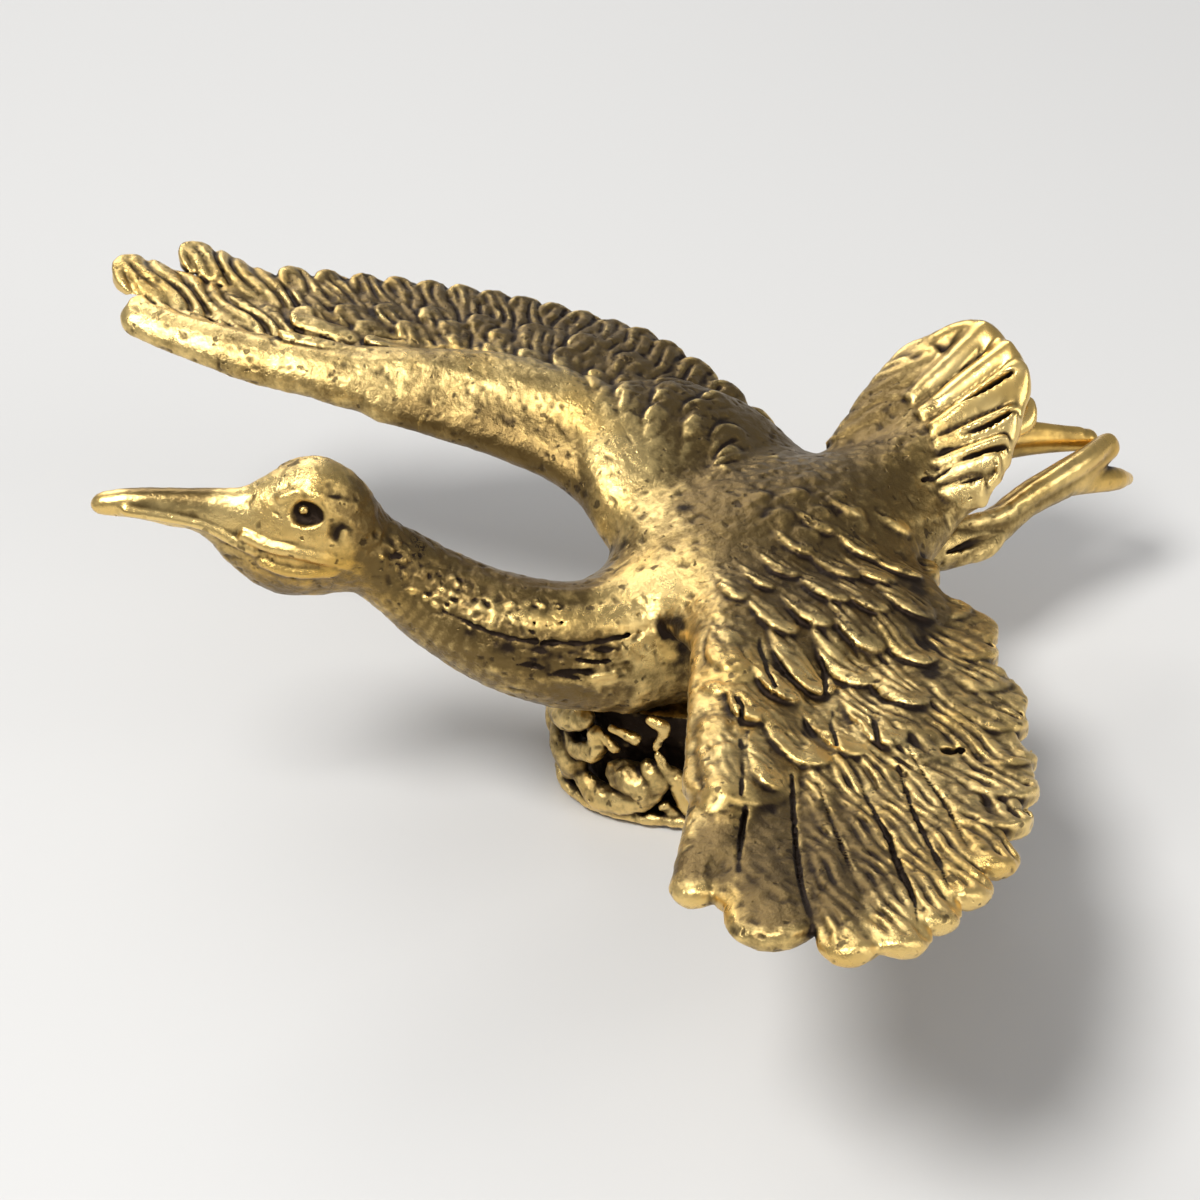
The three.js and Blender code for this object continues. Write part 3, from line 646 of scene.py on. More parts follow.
HEAD = np.array([-17.85, 8.6, 18.8])
FORWARD = np.array([-0.84, 0.52, 0.18]) / np.linalg.norm([-0.84, 0.52, 0.18])
SIDEWAYS = np.cross([0, 0, 1], FORWARD) / np.linalg.norm(np.cross([0, 0, 1], FORWARD))
UPWARD = np.cross(FORWARD, SIDEWAYS)
HEAD_TURN = math.degrees(math.atan2(FORWARD[1], FORWARD[0]))
HEAD_TIP = math.degrees(math.asin(FORWARD[2]))


def on_head(ahead, left, up):
    """A place by millimetres forward, to the bird's left and up from the middle of the skull."""
    return tuple(HEAD + FORWARD * ahead + SIDEWAYS * left + UPWARD * up)


def from_head(x, y, z):
    """The same three distances, of any place."""
    dx, dy, dz = x - HEAD[0], y - HEAD[1], z - HEAD[2]
    return tuple(dx * way[0] + dy * way[1] + dz * way[2] for way in (FORWARD, SIDEWAYS, UPWARD))


HEAD_STATIONS = [
    (-3.5, 1.1, 1.3, -2.6), (-2.7, 1.75, 2.3, -3.5), (-1.6, 2.2, 3.1, -4.1), (-0.3, 2.4, 3.45, -4.3),
    (1.1, 2.1, 2.85, -4.3), (2.2, 1.65, 2.1, -3.8), (3.0, 1.3, 1.6, -3.2), (3.8, 1.08, 1.45, -2.4),
    (4.6, 0.92, 1.4, -1.4), (5.3, 0.86, 1.38, -0.95), (6.5, 0.8, 1.33, -0.75), (8.1, 0.7, 1.2, -0.4),
    (9.3, 0.62, 0.98, -0.36), (10.0, 0.5, 0.75, -0.3), (10.4, 0.32, 0.45, -0.1),
]


def on_face(side, ahead, up, out=0.0):
    """A place on one side of the face, by how far forward and how high it is."""
    columns = np.array(HEAD_STATIONS).T
    half, high, low = [np.interp(ahead, columns[0], column) for column in columns[1:]]
    middle = low + (high - low) * 0.55
    tall = high - middle if up > middle else middle - low
    across = half * math.sqrt(max(0.02, 1 - ((up - middle) / tall) ** 2))
    return on_head(ahead, side * (across + out), up)


def head_details(side):
    """What one side of the face carries: eye, brow, ear, nostril and the folds of the cheek."""
    def ridge(points, radius):
        return rod([on_face(side, a, b) for a, b in points], [radius] * len(points), blend=0.2)

    def groove(points, radius):
        line = [on_face(side, a, b, 0.05) for a, b in points]
        return rod(line, [radius] * len(points), blend=0.12, cuts=True)

    def egg(ahead, up, out, sizes, blend, cuts=False):
        return ball(on_face(side, ahead, up, out), sizes, HEAD_TURN, HEAD_TIP, blend=blend, cuts=cuts)

    return [
        ridge([(8.6, 0.35), (6.8, 0.2), (4.8, -0.1), (3.5, -0.6), (2.4, -0.9)], 0.26),
        ridge([(2.8, -0.2), (1.6, -0.35), (0.4, -0.3), (-1.0, -0.6), (-2.3, -1.0)], 0.34),
        ridge([(1.8, -1.5), (0.8, -1.65), (-0.2, -1.6), (-1.5, -1.5)], 0.28),
        ridge([(1.2, 2.1), (0.4, 2.5), (-0.6, 2.5)], 0.2),
        egg(0.15, 1.75, 0.1, (0.75, 0.6, 0.72), 0.15, cuts=True),
        egg(-0.3, 1.75, 0.1, (0.6, 0.55, 0.6), 0.2, cuts=True),
        egg(0.1, 1.65, -0.4, (0.22, 0.22, 0.22), 0.05),
        groove([(-1.1, 2.5), (-1.6, 2.4), (-2.1, 2.2)], 0.04),
        egg(-1.7, 0.9, 0.2, (0.4, 0.3, 0.5), 0.4, cuts=True),
        egg(-1.9, 0.4, -0.15, (0.28, 0.28, 0.5), 0.2),
        groove([(2.3, 1.1), (2.2, 0.5), (2.1, -0.1)], 0.03),
    ]


NECK_LINE = [(BREAST_X + ahead, y, NECK_ROOT_HEIGHT + up) for ahead, y, up in (
    (3.0, 0, 0), (0, 0, 0), (-2.2, 0.1, 0.2), (-4.6, 1, 1), (-6.7, 2.7, 2), (-8.6, 5, 3.5),
    (-10.3, 6.6, 5.5), (-12.2, 7.6, 7.6),
)]
NECK_RADII = [3.6, 3.45, 3.35, 3.15, 2.9, 2.5, 2.1, 2.0]
PARTING = [(0.16, 44), (0.27, 42), (0.4, 38), (0.55, 34), (0.7, 30)]


def on_neck(share, degrees, out=0.0):
    """A place on the neck's skin: how far up it, and how high round its left side."""
    at = share * (len(NECK_LINE) - 1)
    here, ahead = spread(numbered(NECK_LINE), [at, at + 0.05])
    radius = float(spread(numbered([(r,) for r in NECK_RADII]), [at])[0, 0])
    along = (ahead - here) / np.linalg.norm(ahead - here)
    left = np.cross([0, 0, 1], along)
    left /= np.linalg.norm(left)
    up = np.cross(along, left)
    turn = math.radians(degrees)
    return tuple(here + (left * math.cos(turn) + up * math.sin(turn)) * (radius + out))


def neck_base():
    """The smooth neck and the head with its beak."""
    neck = rod(NECK_LINE, NECK_RADII, blend=0.9)
    reach = (HEAD - [11, 5, 6.5], HEAD + [6, 8, 6])
    head = oval_trunk(HEAD_STATIONS, blend=0.9, place=from_head, reach=reach)
    return [neck, head]


def neck_details():
    """The parting low on the neck's side, the ridges beside it, and the rough skin between them."""

    def along(turn, out, radii, blend, cuts=False):
        line = [on_neck(share, degrees + turn, out) for share, degrees in PARTING[:len(radii)]]
        return rod(line, radii, blend=blend, cuts=cuts)

    ridges = [
        along(17, -0.62, [0.8, 0.85, 0.8, 0.7, 0.5], 0.5),
        along(52, -0.36, [0.45, 0.5, 0.5, 0.45, 0.35], 0.3),
        along(-20, -0.3, [0.3, 0.38, 0.34, 0.25], 0.4),
        along(-36, -0.3, [0.3, 0.38, 0.34, 0.25], 0.4),
    ]
    folds = []
    random = np.random.default_rng(3)
    for i in range(16):
        share, down = random.uniform(0.2, 0.5), random.uniform(6, 34)
        run = random.uniform(0.02, 0.05)
        middle = 42 - 20 * (share - 0.27) - down
        line = [on_neck(share + run * t, middle + random.uniform(-2, 2), 0.02) for t in (-1, 0, 1)]
        size = random.uniform(0.07, 0.13)
        folds.append(rod(line, [size * 0.4, size, size * 0.4], blend=0.12, cuts=i % 2 == 0))
    for i in range(120):
        share = random.uniform(0.44, 0.93)
        turn = 58 - 30 * (share - 0.44) + random.uniform(-24, 24)
        pitted = i % 3 == 1
        size = random.uniform(0.1, 0.2) * (0.55 if pitted else 1.0)
        out = 0.04 if pitted else -0.02
        line = [on_neck(share, turn, out), on_neck(share + 0.012, turn + random.uniform(-3, 3), out)]
        folds.append(rod(line, [size, size * 0.6], blend=0.12, cuts=pitted, steps=1))
    lip = rod([(-9.3, -2.4, 11.2), (-8.4, -2.85, 11.05), (-7.4, -3.1, 11.0)], [0.12, 0.2, 0.14], blend=0.15)
    crack = rod([(-9.3, -2.4, 11.6), (-8.4, -2.85, 11.6), (-7.1, -3.15, 11.45)], [0.08, 0.2, 0.08],
                blend=0.1, cuts=True)
    parting = along(0, 0.03, [0.07, 0.1, 0.11, 0.1, 0.05], 0.1, cuts=True)
    return [*ridges, *folds, lip, crack, parting, *head_details(1), *head_details(-1)]


# Tail and legs

def tail_lift(x, y):
    """Height of the fan, which rises to its end and droops on the near side."""
    return 12.2 + 0.4 * np.clip(x - RUMP_X, -3, 10) + 0.45 * np.minimum(y + 0.5, 0)


def tail_shapes():
    """A fan that droops on the near side, with seven strong round feathers and a rough far edge."""
    web = [
        feather(base, tip, wide, (-0.2, -0.25), 1.2, taper=0.7, cup=0.2, blend=0.5, lift=tail_lift)
        for base, tip, wide in (((12.0, 2.6), (20.6, 4.6), 2.0), ((12.0, 1.0), (21.0, 1.4), 2.2),
                                ((12.0, -0.6), (19.6, -1.6), 1.9), ((12.0, -1.8), (16.8, -3.2), 1.4))
    ]
    laid = [
        ((16.6, 2.6), (21.9, 2.4), 1.0), ((16.2, 1.2), (21.7, 0.2), 0.95),
        ((15.8, -0.1), (21.3, -1.5), 0.95), ((15.4, -1.1), (19.4, -2.8), 0.75),
        ((14.2, -1.6), (18.1, -3.6), 0.72), ((13.2, -1.9), (17.2, -3.9), 0.68),
        ((12.8, -2.5), (15.8, -4.3), 0.62),
    ]
    ribs = [feather(base, tip, wide, (0.05, 0.4), 1.5, taper=0.75, cup=0.8, blend=0.06, lift=tail_lift)
            for base, tip, wide in laid]
    rim = rod([(18.6, 5.0, -0.1), (20.8, 4.2, 0.1), (21.7, 2.7, 0.2), (21.4, 0.6, 0.2), (20.9, -1.2, 0.2),
               (19.2, -2.6, 0.1), (17.6, -3.5, 0.0), (15.6, -4.2, 0.0)],
              [0.4, 0.7, 0.75, 0.6, 0.6, 0.5, 0.45, 0.35], blend=0.5, lift=tail_lift)
    gaps = [
        ([(17.8, 1.8), (19.2, 1.6), (20.7, 1.6)], 0.1), ([(16.8, 0.3), (18.3, -0.5), (20.4, -1.1)], 0.17),
        ([(16.0, -1.3), (17.8, -2.2), (19.6, -2.7)], 0.15),
        ([(15.2, -2.3), (16.5, -3.0), (17.9, -3.7)], 0.14),
        ([(12.9, -2.2), (13.8, -2.3), (14.9, -2.5)], 0.1),
        ([(14.6, -3.4), (15.6, -3.9), (16.6, -4.1)], 0.14),
    ]
    slits = [rod([(x, y, 1.0) for x, y in line], [size * 0.3, size, size * 1.1], blend=0.1, cuts=True,
                 lift=tail_lift, flat=4.0)
             for line, size in gaps]
    rough = [feather(base, tip, wide, (-0.2, 0.0), 1.3, taper=0.8, cup=0.6, barb=(0.9, 0.12, -35),
                     blend=0.4, lift=tail_lift)
             for base, tip, wide in (((13.4, 3.4), (19.6, 3.9), 1.2), ((12.8, 4.0), (18.4, 4.8), 1.1))]
    pale = feather((17.0, -0.6), (21.9, -1.6), 0.9, (-1.9, -1.9), 1.0, cup=0.5, lift=tail_lift)
    root = rod([(9.0, 0, 11.6), (12.3, 0, 11.8), (15.0, 0.4, 12.7)], [3.2, 2.9, 1.7], blend=1.2, flat=0.7)
    return [root, *web, *ribs, rim, *rough, pale, *slits]


def left_leg_shapes():
    """The near leg: shank, a ridge along it, knee, pointed toes and a slit above the knee."""
    shank = rod(
        [(11.6, -1.9, 9.2), (14.4, -2.9, 8.5), (17.4, -3.0, 8.2), (20.0, -3.1, 9.0), (23.2, -3.2, 9.3),
         (26.2, -3.0, 9.8)],
        [1.5, 1.3, 1.05, 0.95, 1.0, 0.75], blend=0.2,
    )
    ridge = rod(
        [(13.6, -2.6, 9.7), (17.6, -3.3, 9.1), (19.8, -3.5, 9.6), (23.8, -3.6, 10.2), (26.2, -3.1, 10.2)],
        [0.5, 0.55, 0.55, 0.6, 0.5], blend=0.15,
    )
    knee = rod([(14.4, -3.7, 8.1), (16.4, -3.9, 8.0), (18.0, -3.6, 8.3)], [0.5, 0.6, 0.4], blend=0.15)
    toes = rod([(23.6, -3.2, 8.9), (26.2, -3.6, 8.0), (27.6, -3.4, 7.3)], [0.9, 0.7, 0.4], blend=0.3)
    slit = rod([(13.6, -3.9, 9.0), (15.4, -4.1, 8.9), (17.2, -4.1, 8.8)], [0.1, 0.24, 0.06], blend=0.12,
               cuts=True)
    return [shank, ridge, knee, toes, slit]


def right_leg_shapes():
    """The far leg, which bends in behind the near one."""
    limb = rod([(11.6, 1.8, 9.6), (15.0, 2.0, 9.7), (19.0, 2.0, 9.8), (23.0, 1.0, 9.7), (26.4, -1.3, 9.4)],
               [1.45, 1.2, 1.05, 1.0, 0.6], blend=0.2)
    ridge = rod([(18.0, 2.0, 10.6), (22.4, 1.3, 10.5), (26.0, -1.0, 9.9)], [0.5, 0.5, 0.3], blend=0.25)
    return [limb, ridge]


# Cloud boss: how far out its parts reach, as shares of the outline, and their heights

CORE_SHARE = 0.74
CORE_HEIGHT = 6.3
FOOT_SHARE = 0.93
FOOT_HEIGHT = 0.6
SCROLL_SHARE = 0.9
SCROLL_FULLNESS = 1.12
OUTLINE_STEPS = 72


def boss_radius(turn):
    """Distance from the middle to the boss's outline in a direction, for the lobed oval."""
    oval = 1 / np.hypot(np.cos(turn) / (BOSS_LENGTH / 2), np.sin(turn) / (BOSS_WIDTH / 2))
    return oval * (1 + BOSS_BULGE * np.cos(3 * (turn - BOSS_BULGE_TURN)))


def boss_spot(degrees, share, height):
    """A place by its direction, its share of the way out to the outline, and its height."""
    turn = math.radians(degrees)
    reach = boss_radius(turn) * share
    return (reach * math.cos(turn), reach * math.sin(turn), height)


def drum(share, height, fillet, margin):
    """A flat-ended block from the floor up, with the boss's outline drawn in to a share of it. Its box
    ends a margin above its top."""
    turns = np.linspace(0, 2 * math.pi, OUTLINE_STEPS + 1)
    outline = boss_radius(turns)

    def distance(x, y, z):
        edge = np.interp(np.mod(np.arctan2(y, x), 2 * math.pi), turns, outline).astype(np.float32)
        side = (np.sqrt(x * x + y * y) - edge * share) * 0.9
        return soft_max(side, np.abs(z - height / 2) - height / 2, fillet)

    return Shape(distance, (-9, -8, -0.5), (9, 8, height + margin), 0.1)


def curl(marks, radii):
    """A thick scroll on the side of the boss. Each mark is a direction and a height."""
    spots = [boss_spot(degrees, SCROLL_SHARE, height) for degrees, height in marks]
    return rod(spots, [SCROLL_FULLNESS * radius for radius in radii], blend=0.1, steps=4)


def boss_shapes():
    """A core on a foot with a thin rim, and scrolls of cloud that stand free of the core. The core's recess
    is painted dark as shade when the piece is cast.
    """
    rim = [boss_spot(degrees, FOOT_SHARE, 0.5) for degrees in range(0, 361, 20)]
    shapes = [
        drum(CORE_SHARE, CORE_HEIGHT, fillet=0.4, margin=1.2),
        drum(FOOT_SHARE, FOOT_HEIGHT, fillet=0.2, margin=0.9),
        rod(rim, [0.34] * len(rim), blend=0.1, steps=3),
        curl([(152, 5.3), (163, 5.2), (171, 5.5), (177, 6.0)], [0.6, 0.75, 0.7, 0.5]),
        curl([(167, 4.2), (172, 3.7), (178, 3.9), (-177, 4.5), (-178, 5.3)], [0.35, 0.55, 0.6, 0.5, 0.35]),
        *[curl([(turn, height), (turn + 1, height - 0.2)], [size, size])
          for turn, height, size in ((-176, 5.5, 0.16), (-173, 5.2, 0.18), (-170, 4.9, 0.26))],
        curl([(-170, 6.0), (-165, 5.8), (-160, 5.6)], [0.2, 0.24, 0.3]),
        curl([(158, 3.8), (164, 3.1), (168, 2.3), (165, 1.4)], [0.6, 0.85, 0.75, 0.5]),
        curl([(173, 1.7), (-180, 1.2), (-172, 1.1), (-163, 1.5), (-155, 2.3), (-151, 3.2), (-155, 3.9)],
             [0.4, 0.6, 0.7, 0.75, 0.7, 0.6, 0.4]),
        ball(boss_spot(-163, SCROLL_SHARE, 2.8), (1.5, 0.9, 0.95), turn=-73, tip=-10, blend=0.08),
        curl([(-150, 4.7), (-147, 3.9), (-141, 3.2), (-134, 3.0)], [0.2, 0.32, 0.36, 0.3]),
        curl([(-142, 2.8), (-138, 1.7), (-134, 0.7)], [0.32, 0.4, 0.32]),
        curl([(-148, 1.3), (-141, 0.6)], [0.3, 0.3]),
        curl([(-153, 7.0), (-147, 6.6), (-148, 6.0), (-151, 5.2)], [0.22, 0.3, 0.25, 0.2]),
    ]
    random = np.random.default_rng(7)
    for row in range(3):
        for i in range(8):
            at = -120 + i * 35 + row * 16 + random.uniform(-4, 4)
            height = 1.5 + row * 1.9 + random.uniform(-0.2, 0.2)
            if at > 150:
                continue
            wide, tall, hand = random.uniform(6, 10), random.uniform(0.6, 0.8), random.choice([-1, 1])
            marks = [(at + hand * wide * math.cos(turn), height + tall * math.sin(turn))
                     for turn in (0.2, 1.0, 1.8, 2.6, 3.4, 4.2)]
            shapes.append(curl(marks, [0.4, 0.65, 0.8, 0.8, 0.6, 0.35]))
    return shapes


# The top of the smooth bird, over which small feathers are laid

DRAPE_BOTTOM = 6.0
DRAPE_TOP = 23.0
DRAPE_ROUNDS = 30
BARE_HEIGHT = 12.0


def neighbours(grid):
    """The grid shifted by one place each way."""
    return [np.roll(grid, shift, axis) for axis in (0, 1) for shift in (1, -1)]


class Drape:
    """Heights of the highest skin over a grid of places, carried outwards past its edges."""

    def __init__(self, shapes, low, high, step=0.3):
        field = Field((*low, DRAPE_BOTTOM), (*high, DRAPE_TOP), step)
        for shape in shapes:
            field.add(shape)
        self.low = low
        self.step = step
        inside = field.value < 0
        steps = inside.shape[2]
        last = steps - 1 - np.argmax(inside[:, :, ::-1], axis=2)
        last = np.clip(last, 0, steps - 2)
        below = np.take_along_axis(field.value, last[:, :, None], 2)[:, :, 0]
        above = np.take_along_axis(field.value, last[:, :, None] + 1, 2)[:, :, 0]
        height = DRAPE_BOTTOM + (last + below / (below - above + 1e-6)) * step
        known = inside.any(axis=2)
        for _ in range(DRAPE_ROUNDS):
            count = sum(neighbours(known.astype(int)))
            total = sum(neighbours(np.where(known, height, 0)))
            height = np.where(known, height, total / np.maximum(count, 1))
            known = known | (count > 0)
        height = np.where(known, height, BARE_HEIGHT)
        for _ in range(2):
            height = (height * 2 + sum(neighbours(height))) / 6
        self.height = height.astype(np.float32)

    def lift(self, x, y):
        """The height at any place."""
        i = np.clip((x - self.low[0]) / self.step, 0, self.height.shape[0] - 1.001)
        j = np.clip((y - self.low[1]) / self.step, 0, self.height.shape[1] - 1.001)
        a, b = np.floor(i).astype(np.int32), np.floor(j).astype(np.int32)
        u, v = i - a, j - b
        near = self.height[a, b] * (1 - v) + self.height[a, b + 1] * v
        far = self.height[a + 1, b] * (1 - v) + self.height[a + 1, b + 1] * v
        return (near * (1 - u) + far * u).astype(np.float32)


# Uneven metal: sizes and heights of what a cast skin shows, and how rare its pits are

WAVE_SIZE = 1.9
WAVE_HEIGHT = 0.08
GRIT_SIZE = 0.55
GRIT_HEIGHT = 0.05
FINE_SIZE = 0.3
FINE_HEIGHT = 0.035
PIT_SIZE = 0.4
PIT_DEPTH = 0.06
PIT_RARITY = 0.78
LEAST_COARSE = 0.15


class Grain:
    """Smooth random numbers in space, the same on every run."""

    def __init__(self, seed, cells=48):
        self.table = np.random.default_rng(seed).random((cells, cells, cells)).astype(np.float32)

    def at(self, points, size):
        """Numbers from 0 to 1 at the points, in lumps of this size."""
        far_from_zero = 1000
        spots = points / size + far_from_zero
        base = np.floor(spots).astype(np.int64)
        part = (spots - base).astype(np.float32)
        return between(self.table, base, part * part * (3 - 2 * part))


GRAIN = Grain(11)


def roughen(points, normals):
    """Moves skin points for slow waves, fine grit and scattered pits. Gives the new places, how far the
    grit stands out, how deep each place lies in a pit, and how coarse the casting is, up to 1."""
    waves = GRAIN.at(points, WAVE_SIZE) - 0.5
    grit = GRAIN.at(points + 30, GRIT_SIZE) - 0.5
    fine = GRAIN.at(points + 50, FINE_SIZE) - 0.5
    coarse = np.maximum(1 + amount_at(points, COARSE), LEAST_COARSE)
    grain = np.minimum(coarse, 1)
    pits = np.clip((GRAIN.at(points + 70, PIT_SIZE) - PIT_RARITY) / 0.1, 0, 1) * grain
    bumps = coarse * (GRIT_HEIGHT * grit + FINE_HEIGHT * fine)
    shift = WAVE_HEIGHT * waves + bumps - PIT_DEPTH * pits
    return points + normals * shift[:, None], bumps, pits, grain


# Places worn bright, some of them painted highlights, and where the share is below nothing places left
# dull, some of them painted shade: x, y, z, reach and share

RUBBED_AND_PAINTED_LIGHT = [
    (-13.8, -24.2, 17.2, 3.6, -1.6), (-16.2, -27.6, 17.8, 2.2, -1.2), (-10.5, -22.0, 16.5, 4.0, -0.2),
    (-19.0, -24.6, 18.0, 1.5, 1.5), (-17.9, -30.8, 18.2, 1.6, 1.7), (-14.8, -32.6, 18.0, 1.6, 1.0),
    (-12.4, -32.0, 17.6, 1.6, 0.9), (-9.8, -31.2, 17.2, 1.5, 0.9), (-7.2, -29.8, 17.0, 1.4, 0.7),
    (-7.0, -11.3, 16.1, 1.6, 0.9), (-8.8, -15.3, 16.8, 1.2, 1.0), (-5.8, -13.7, 15.1, 1.1, 0.8),
    (-3.4, -13.4, 14.6, 1.1, 0.8), (-7.9, -18.6, 16.1, 1.1, 0.9), (-5.4, -18.8, 15.4, 1.0, 0.8),
    (-3.6, -19.0, 15.2, 0.9, 0.6), (-13.8, -19.9, 17.7, 1.2, 0.9), (-11.1, -19.7, 16.8, 1.1, 0.7),
    (-3.9, -4.7, 14.2, 1.8, 0.8), (-9.2, -12.4, 15.0, 1.8, 0.7), (-12.4, -16.6, 16.0, 2.0, 0.6),
    (-14.6, -19.6, 16.8, 1.8, 0.5), (1.5, -6.5, 14.6, 4.0, -0.6), (-2.0, 16.6, 17.6, 2.4, 0.7),
    (0.8, 12.6, 16.6, 2.4, 0.7), (0.6, 8.0, 15.6, 2.6, 1.0), (-6.2, 19.4, 18.8, 2.2, 0.7),
    (-10.4, 22.4, 19.8, 2.2, 0.9), (-13.4, 26.2, 20.8, 2.2, 0.7), (-15.6, 29.2, 21.6, 2.0, 0.9),
    (-14.6, 32.8, 22.0, 1.6, 0.5), (-10.4, 33.2, 22.0, 1.6, 0.4), (-2.0, 25.0, 18.4, 4.5, -0.7),
    (4.0, 20.5, 17.0, 4.8, -0.8), (7.5, 14.5, 15.4, 5.0, -0.8), (9.0, 8.0, 13.6, 4.5, -0.6),
    (5.5, 0.5, 15.4, 4.5, -0.6), (10.5, 0.5, 14.4, 3.5, -0.3), (-24.5, 12.9, 21.7, 1.5, -1.4),
    (-22.4, 11.2, 21.5, 1.5, -1.3), (19.0, -0.5, 15.4, 4.0, 0.8), (14.6, 4.0, 14.0, 3.0, -0.7),
    (-14.2, 5.6, 18.4, 2.2, -0.4), (-0.6, 5.2, 14.7, 2.0, 0.8), (-2.0, 1.6, 14.4, 2.4, 0.4),
    (-3.4, -2.0, 14.2, 2.0, 0.7), (-2.0, 7.4, 13.2, 1.3, -1.3), (-3.0, 10.2, 14.0, 1.3, -1.3),
    (-4.8, 13.0, 15.0, 1.3, -1.3), (-6.8, 15.6, 16.0, 1.2, -1.0), (-5.0, -4.6, 13.2, 0.8, -0.8),
    (-16.4, -23.0, 17.2, 1.6, -0.9), (1.6, 1.2, 15.0, 1.6, -0.4), (-4.8, -1.6, 13.2, 1.8, 1.2),
    (-6.9, -1.5, 13.6, 1.4, 0.6), (-8.9, -0.8, 13.9, 1.2, 0.5), (-10.6, 0.2, 14.4, 1.3, 0.3),
    (-20.0, 8.2, 15.6, 1.6, -0.4), (-10.5, -1.2, 12.7, 1.0, -1.2), (-9.4, -1.9, 12.3, 1.0, -1.1),
    (-11.8, -0.2, 13.0, 1.0, -1.0), (-8.0, -2.3, 12.5, 0.8, -0.9), (-5.7, -3.3, 11.7, 1.1, 1.1),
    (-8.4, -2.8, 11.0, 0.6, 1.5), (-9.5, 1.6, 14.8, 1.3, -1.1), (-12.0, 3.6, 15.4, 1.4, -1.1),
    (-7.0, 0.8, 14.2, 1.2, -0.8), (-14.4, 5.4, 17.0, 1.8, -0.8), (-12.4, 1.8, 12.6, 1.6, -0.7),
    (-9.4, -1.8, 10.6, 1.8, -0.5), (-17.4, 8.1, 22.1, 1.6, 0.9), (-19.8, 8.4, 20.6, 1.7, 1.1),
    (-21.3, 9.6, 20.1, 1.4, 1.0), (-20.2, 7.8, 18.0, 1.8, 0.9), (-23.8, 11.4, 20.3, 1.6, 1.1),
    (-25.8, 13.0, 21.0, 1.4, 1.2), (-18.4, 6.2, 18.2, 1.4, 0.9), (-16.0, 6.8, 20.2, 1.0, -0.5),
    (5.2, -10.2, 13.6, 3.0, -0.2), (24.0, -3.2, 10.4, 3.0, 0.5),
]

# Places painted black: painted shade in recesses, gaps and dents, and along the rough band low on the neck

PAINTED_SHADE_SPOTS = [
    (-15.2, -25.6, 17.4, 2.6, 0.36), (-12.4, -21.8, 16.8, 1.8, 0.2), (-13.4, 1.5, 13.3, 0.6, 0.3),
    (-12.5, 0.3, 12.8, 0.7, 0.35), (-11.2, -0.9, 12.1, 0.7, 0.35), (-9.9, -1.8, 11.6, 0.7, 0.35),
    (-1.3, 3.1, 14.2, 0.45, 0.9), (0.4, 1.9, 14.7, 0.5, 0.9), (-2.8, 3.0, 13.4, 0.4, 0.8),
    (-5.4, -0.7, 13.8, 0.3, 0.7), (-4.2, -1.2, 13.9, 0.3, 0.7), (3.4, -1.3, 15.0, 0.6, 0.7),
    (-4.9, -4.9, 13.5, 0.7, 1.0), (-5.4, -5.8, 13.4, 0.5, 0.8), (-4.7, -4.2, 13.2, 0.6, 1.0),
    (-4.7, -3.1, 12.8, 0.8, 0.8), (-4.8, -3.5, 12.8, 0.4, 0.8), (-5.0, -4.1, 12.2, 0.6, 0.4),
    (-4.4, -4.2, 10.4, 1.2, 0.6), (-16.2, 6.7, 20.6, 0.4, 0.8), (-5.0, 16.4, 16.8, 0.5, 0.6),
    (-13.2, 1.4, 13.8, 0.5, 0.5), (-11.0, -0.6, 12.9, 0.5, 0.3), (15.4, -1.4, 13.6, 0.5, 0.8),
    (15.2, 0.5, 14.2, 0.4, 0.6), (-3.6, -6.2, 14.6, 0.4, 0.6), (-5.6, -8.6, 15.0, 0.4, 0.7),
    (-8.0, -9.6, 14.8, 0.5, 0.6), (-9.6, -13.4, 16.4, 0.4, 0.6), (-18.1, 6.5, 20.3, 0.75, 1.0),
    (-17.0, 6.5, 20.9, 0.4, 0.8), (-16.9, 5.9, 19.3, 0.5, 0.7), (-8.4, -2.85, 11.6, 0.5, 0.8),
    (-10.6, -1.2, 12.8, 0.7, 0.45), (-9.2, -1.9, 12.4, 0.7, 0.45), (-12.0, 0.0, 13.1, 0.6, 0.4),
    (-7.6, -2.3, 12.3, 0.6, 0.4), (13.4, -2.4, 12.9, 0.5, 0.5), (6.9, -8.7, 12.5, 0.8, 0.6),
    (4.9, -11.2, 13.0, 0.8, 0.6), (3.9, -13.0, 12.9, 0.7, 0.6), (2.1, -15.2, 13.4, 0.7, 0.6),
    (-1.0, -17.2, 14.7, 0.7, 0.6), (-3.1, -19.4, 15.0, 0.7, 0.5), (-4.8, -11.3, 15.1, 0.6, 0.8),
    (-6.1, -13.4, 15.5, 0.4, 0.6), (-9.3, -14.8, 16.8, 0.4, 0.7),
]

# Places of a deeper gold

WARM = [
    (-20.3, 8.4, 16.4, 2.2, 1.0), (-17.6, 6.2, 17.0, 2.0, 1.0), (-15.4, 4.6, 15.8, 2.4, 0.7),
    (-9.0, -0.8, 13.8, 3.0, 0.5), (-4.0, 12.0, 14.6, 2.2, 0.9), (-2.4, 8.6, 13.6, 2.0, 0.8),
    (-6.8, 15.6, 16.0, 1.4, 0.8), (26.0, -3.2, 9.0, 2.6, 0.9), (23.0, 1.0, 10.0, 3.4, 0.9),
    (-18.6, -25.4, 17.4, 1.6, 0.8), (-17.4, -31.2, 17.6, 1.8, 0.8),
]

# Places where the casting is coarser, or smoother where the share is below nothing

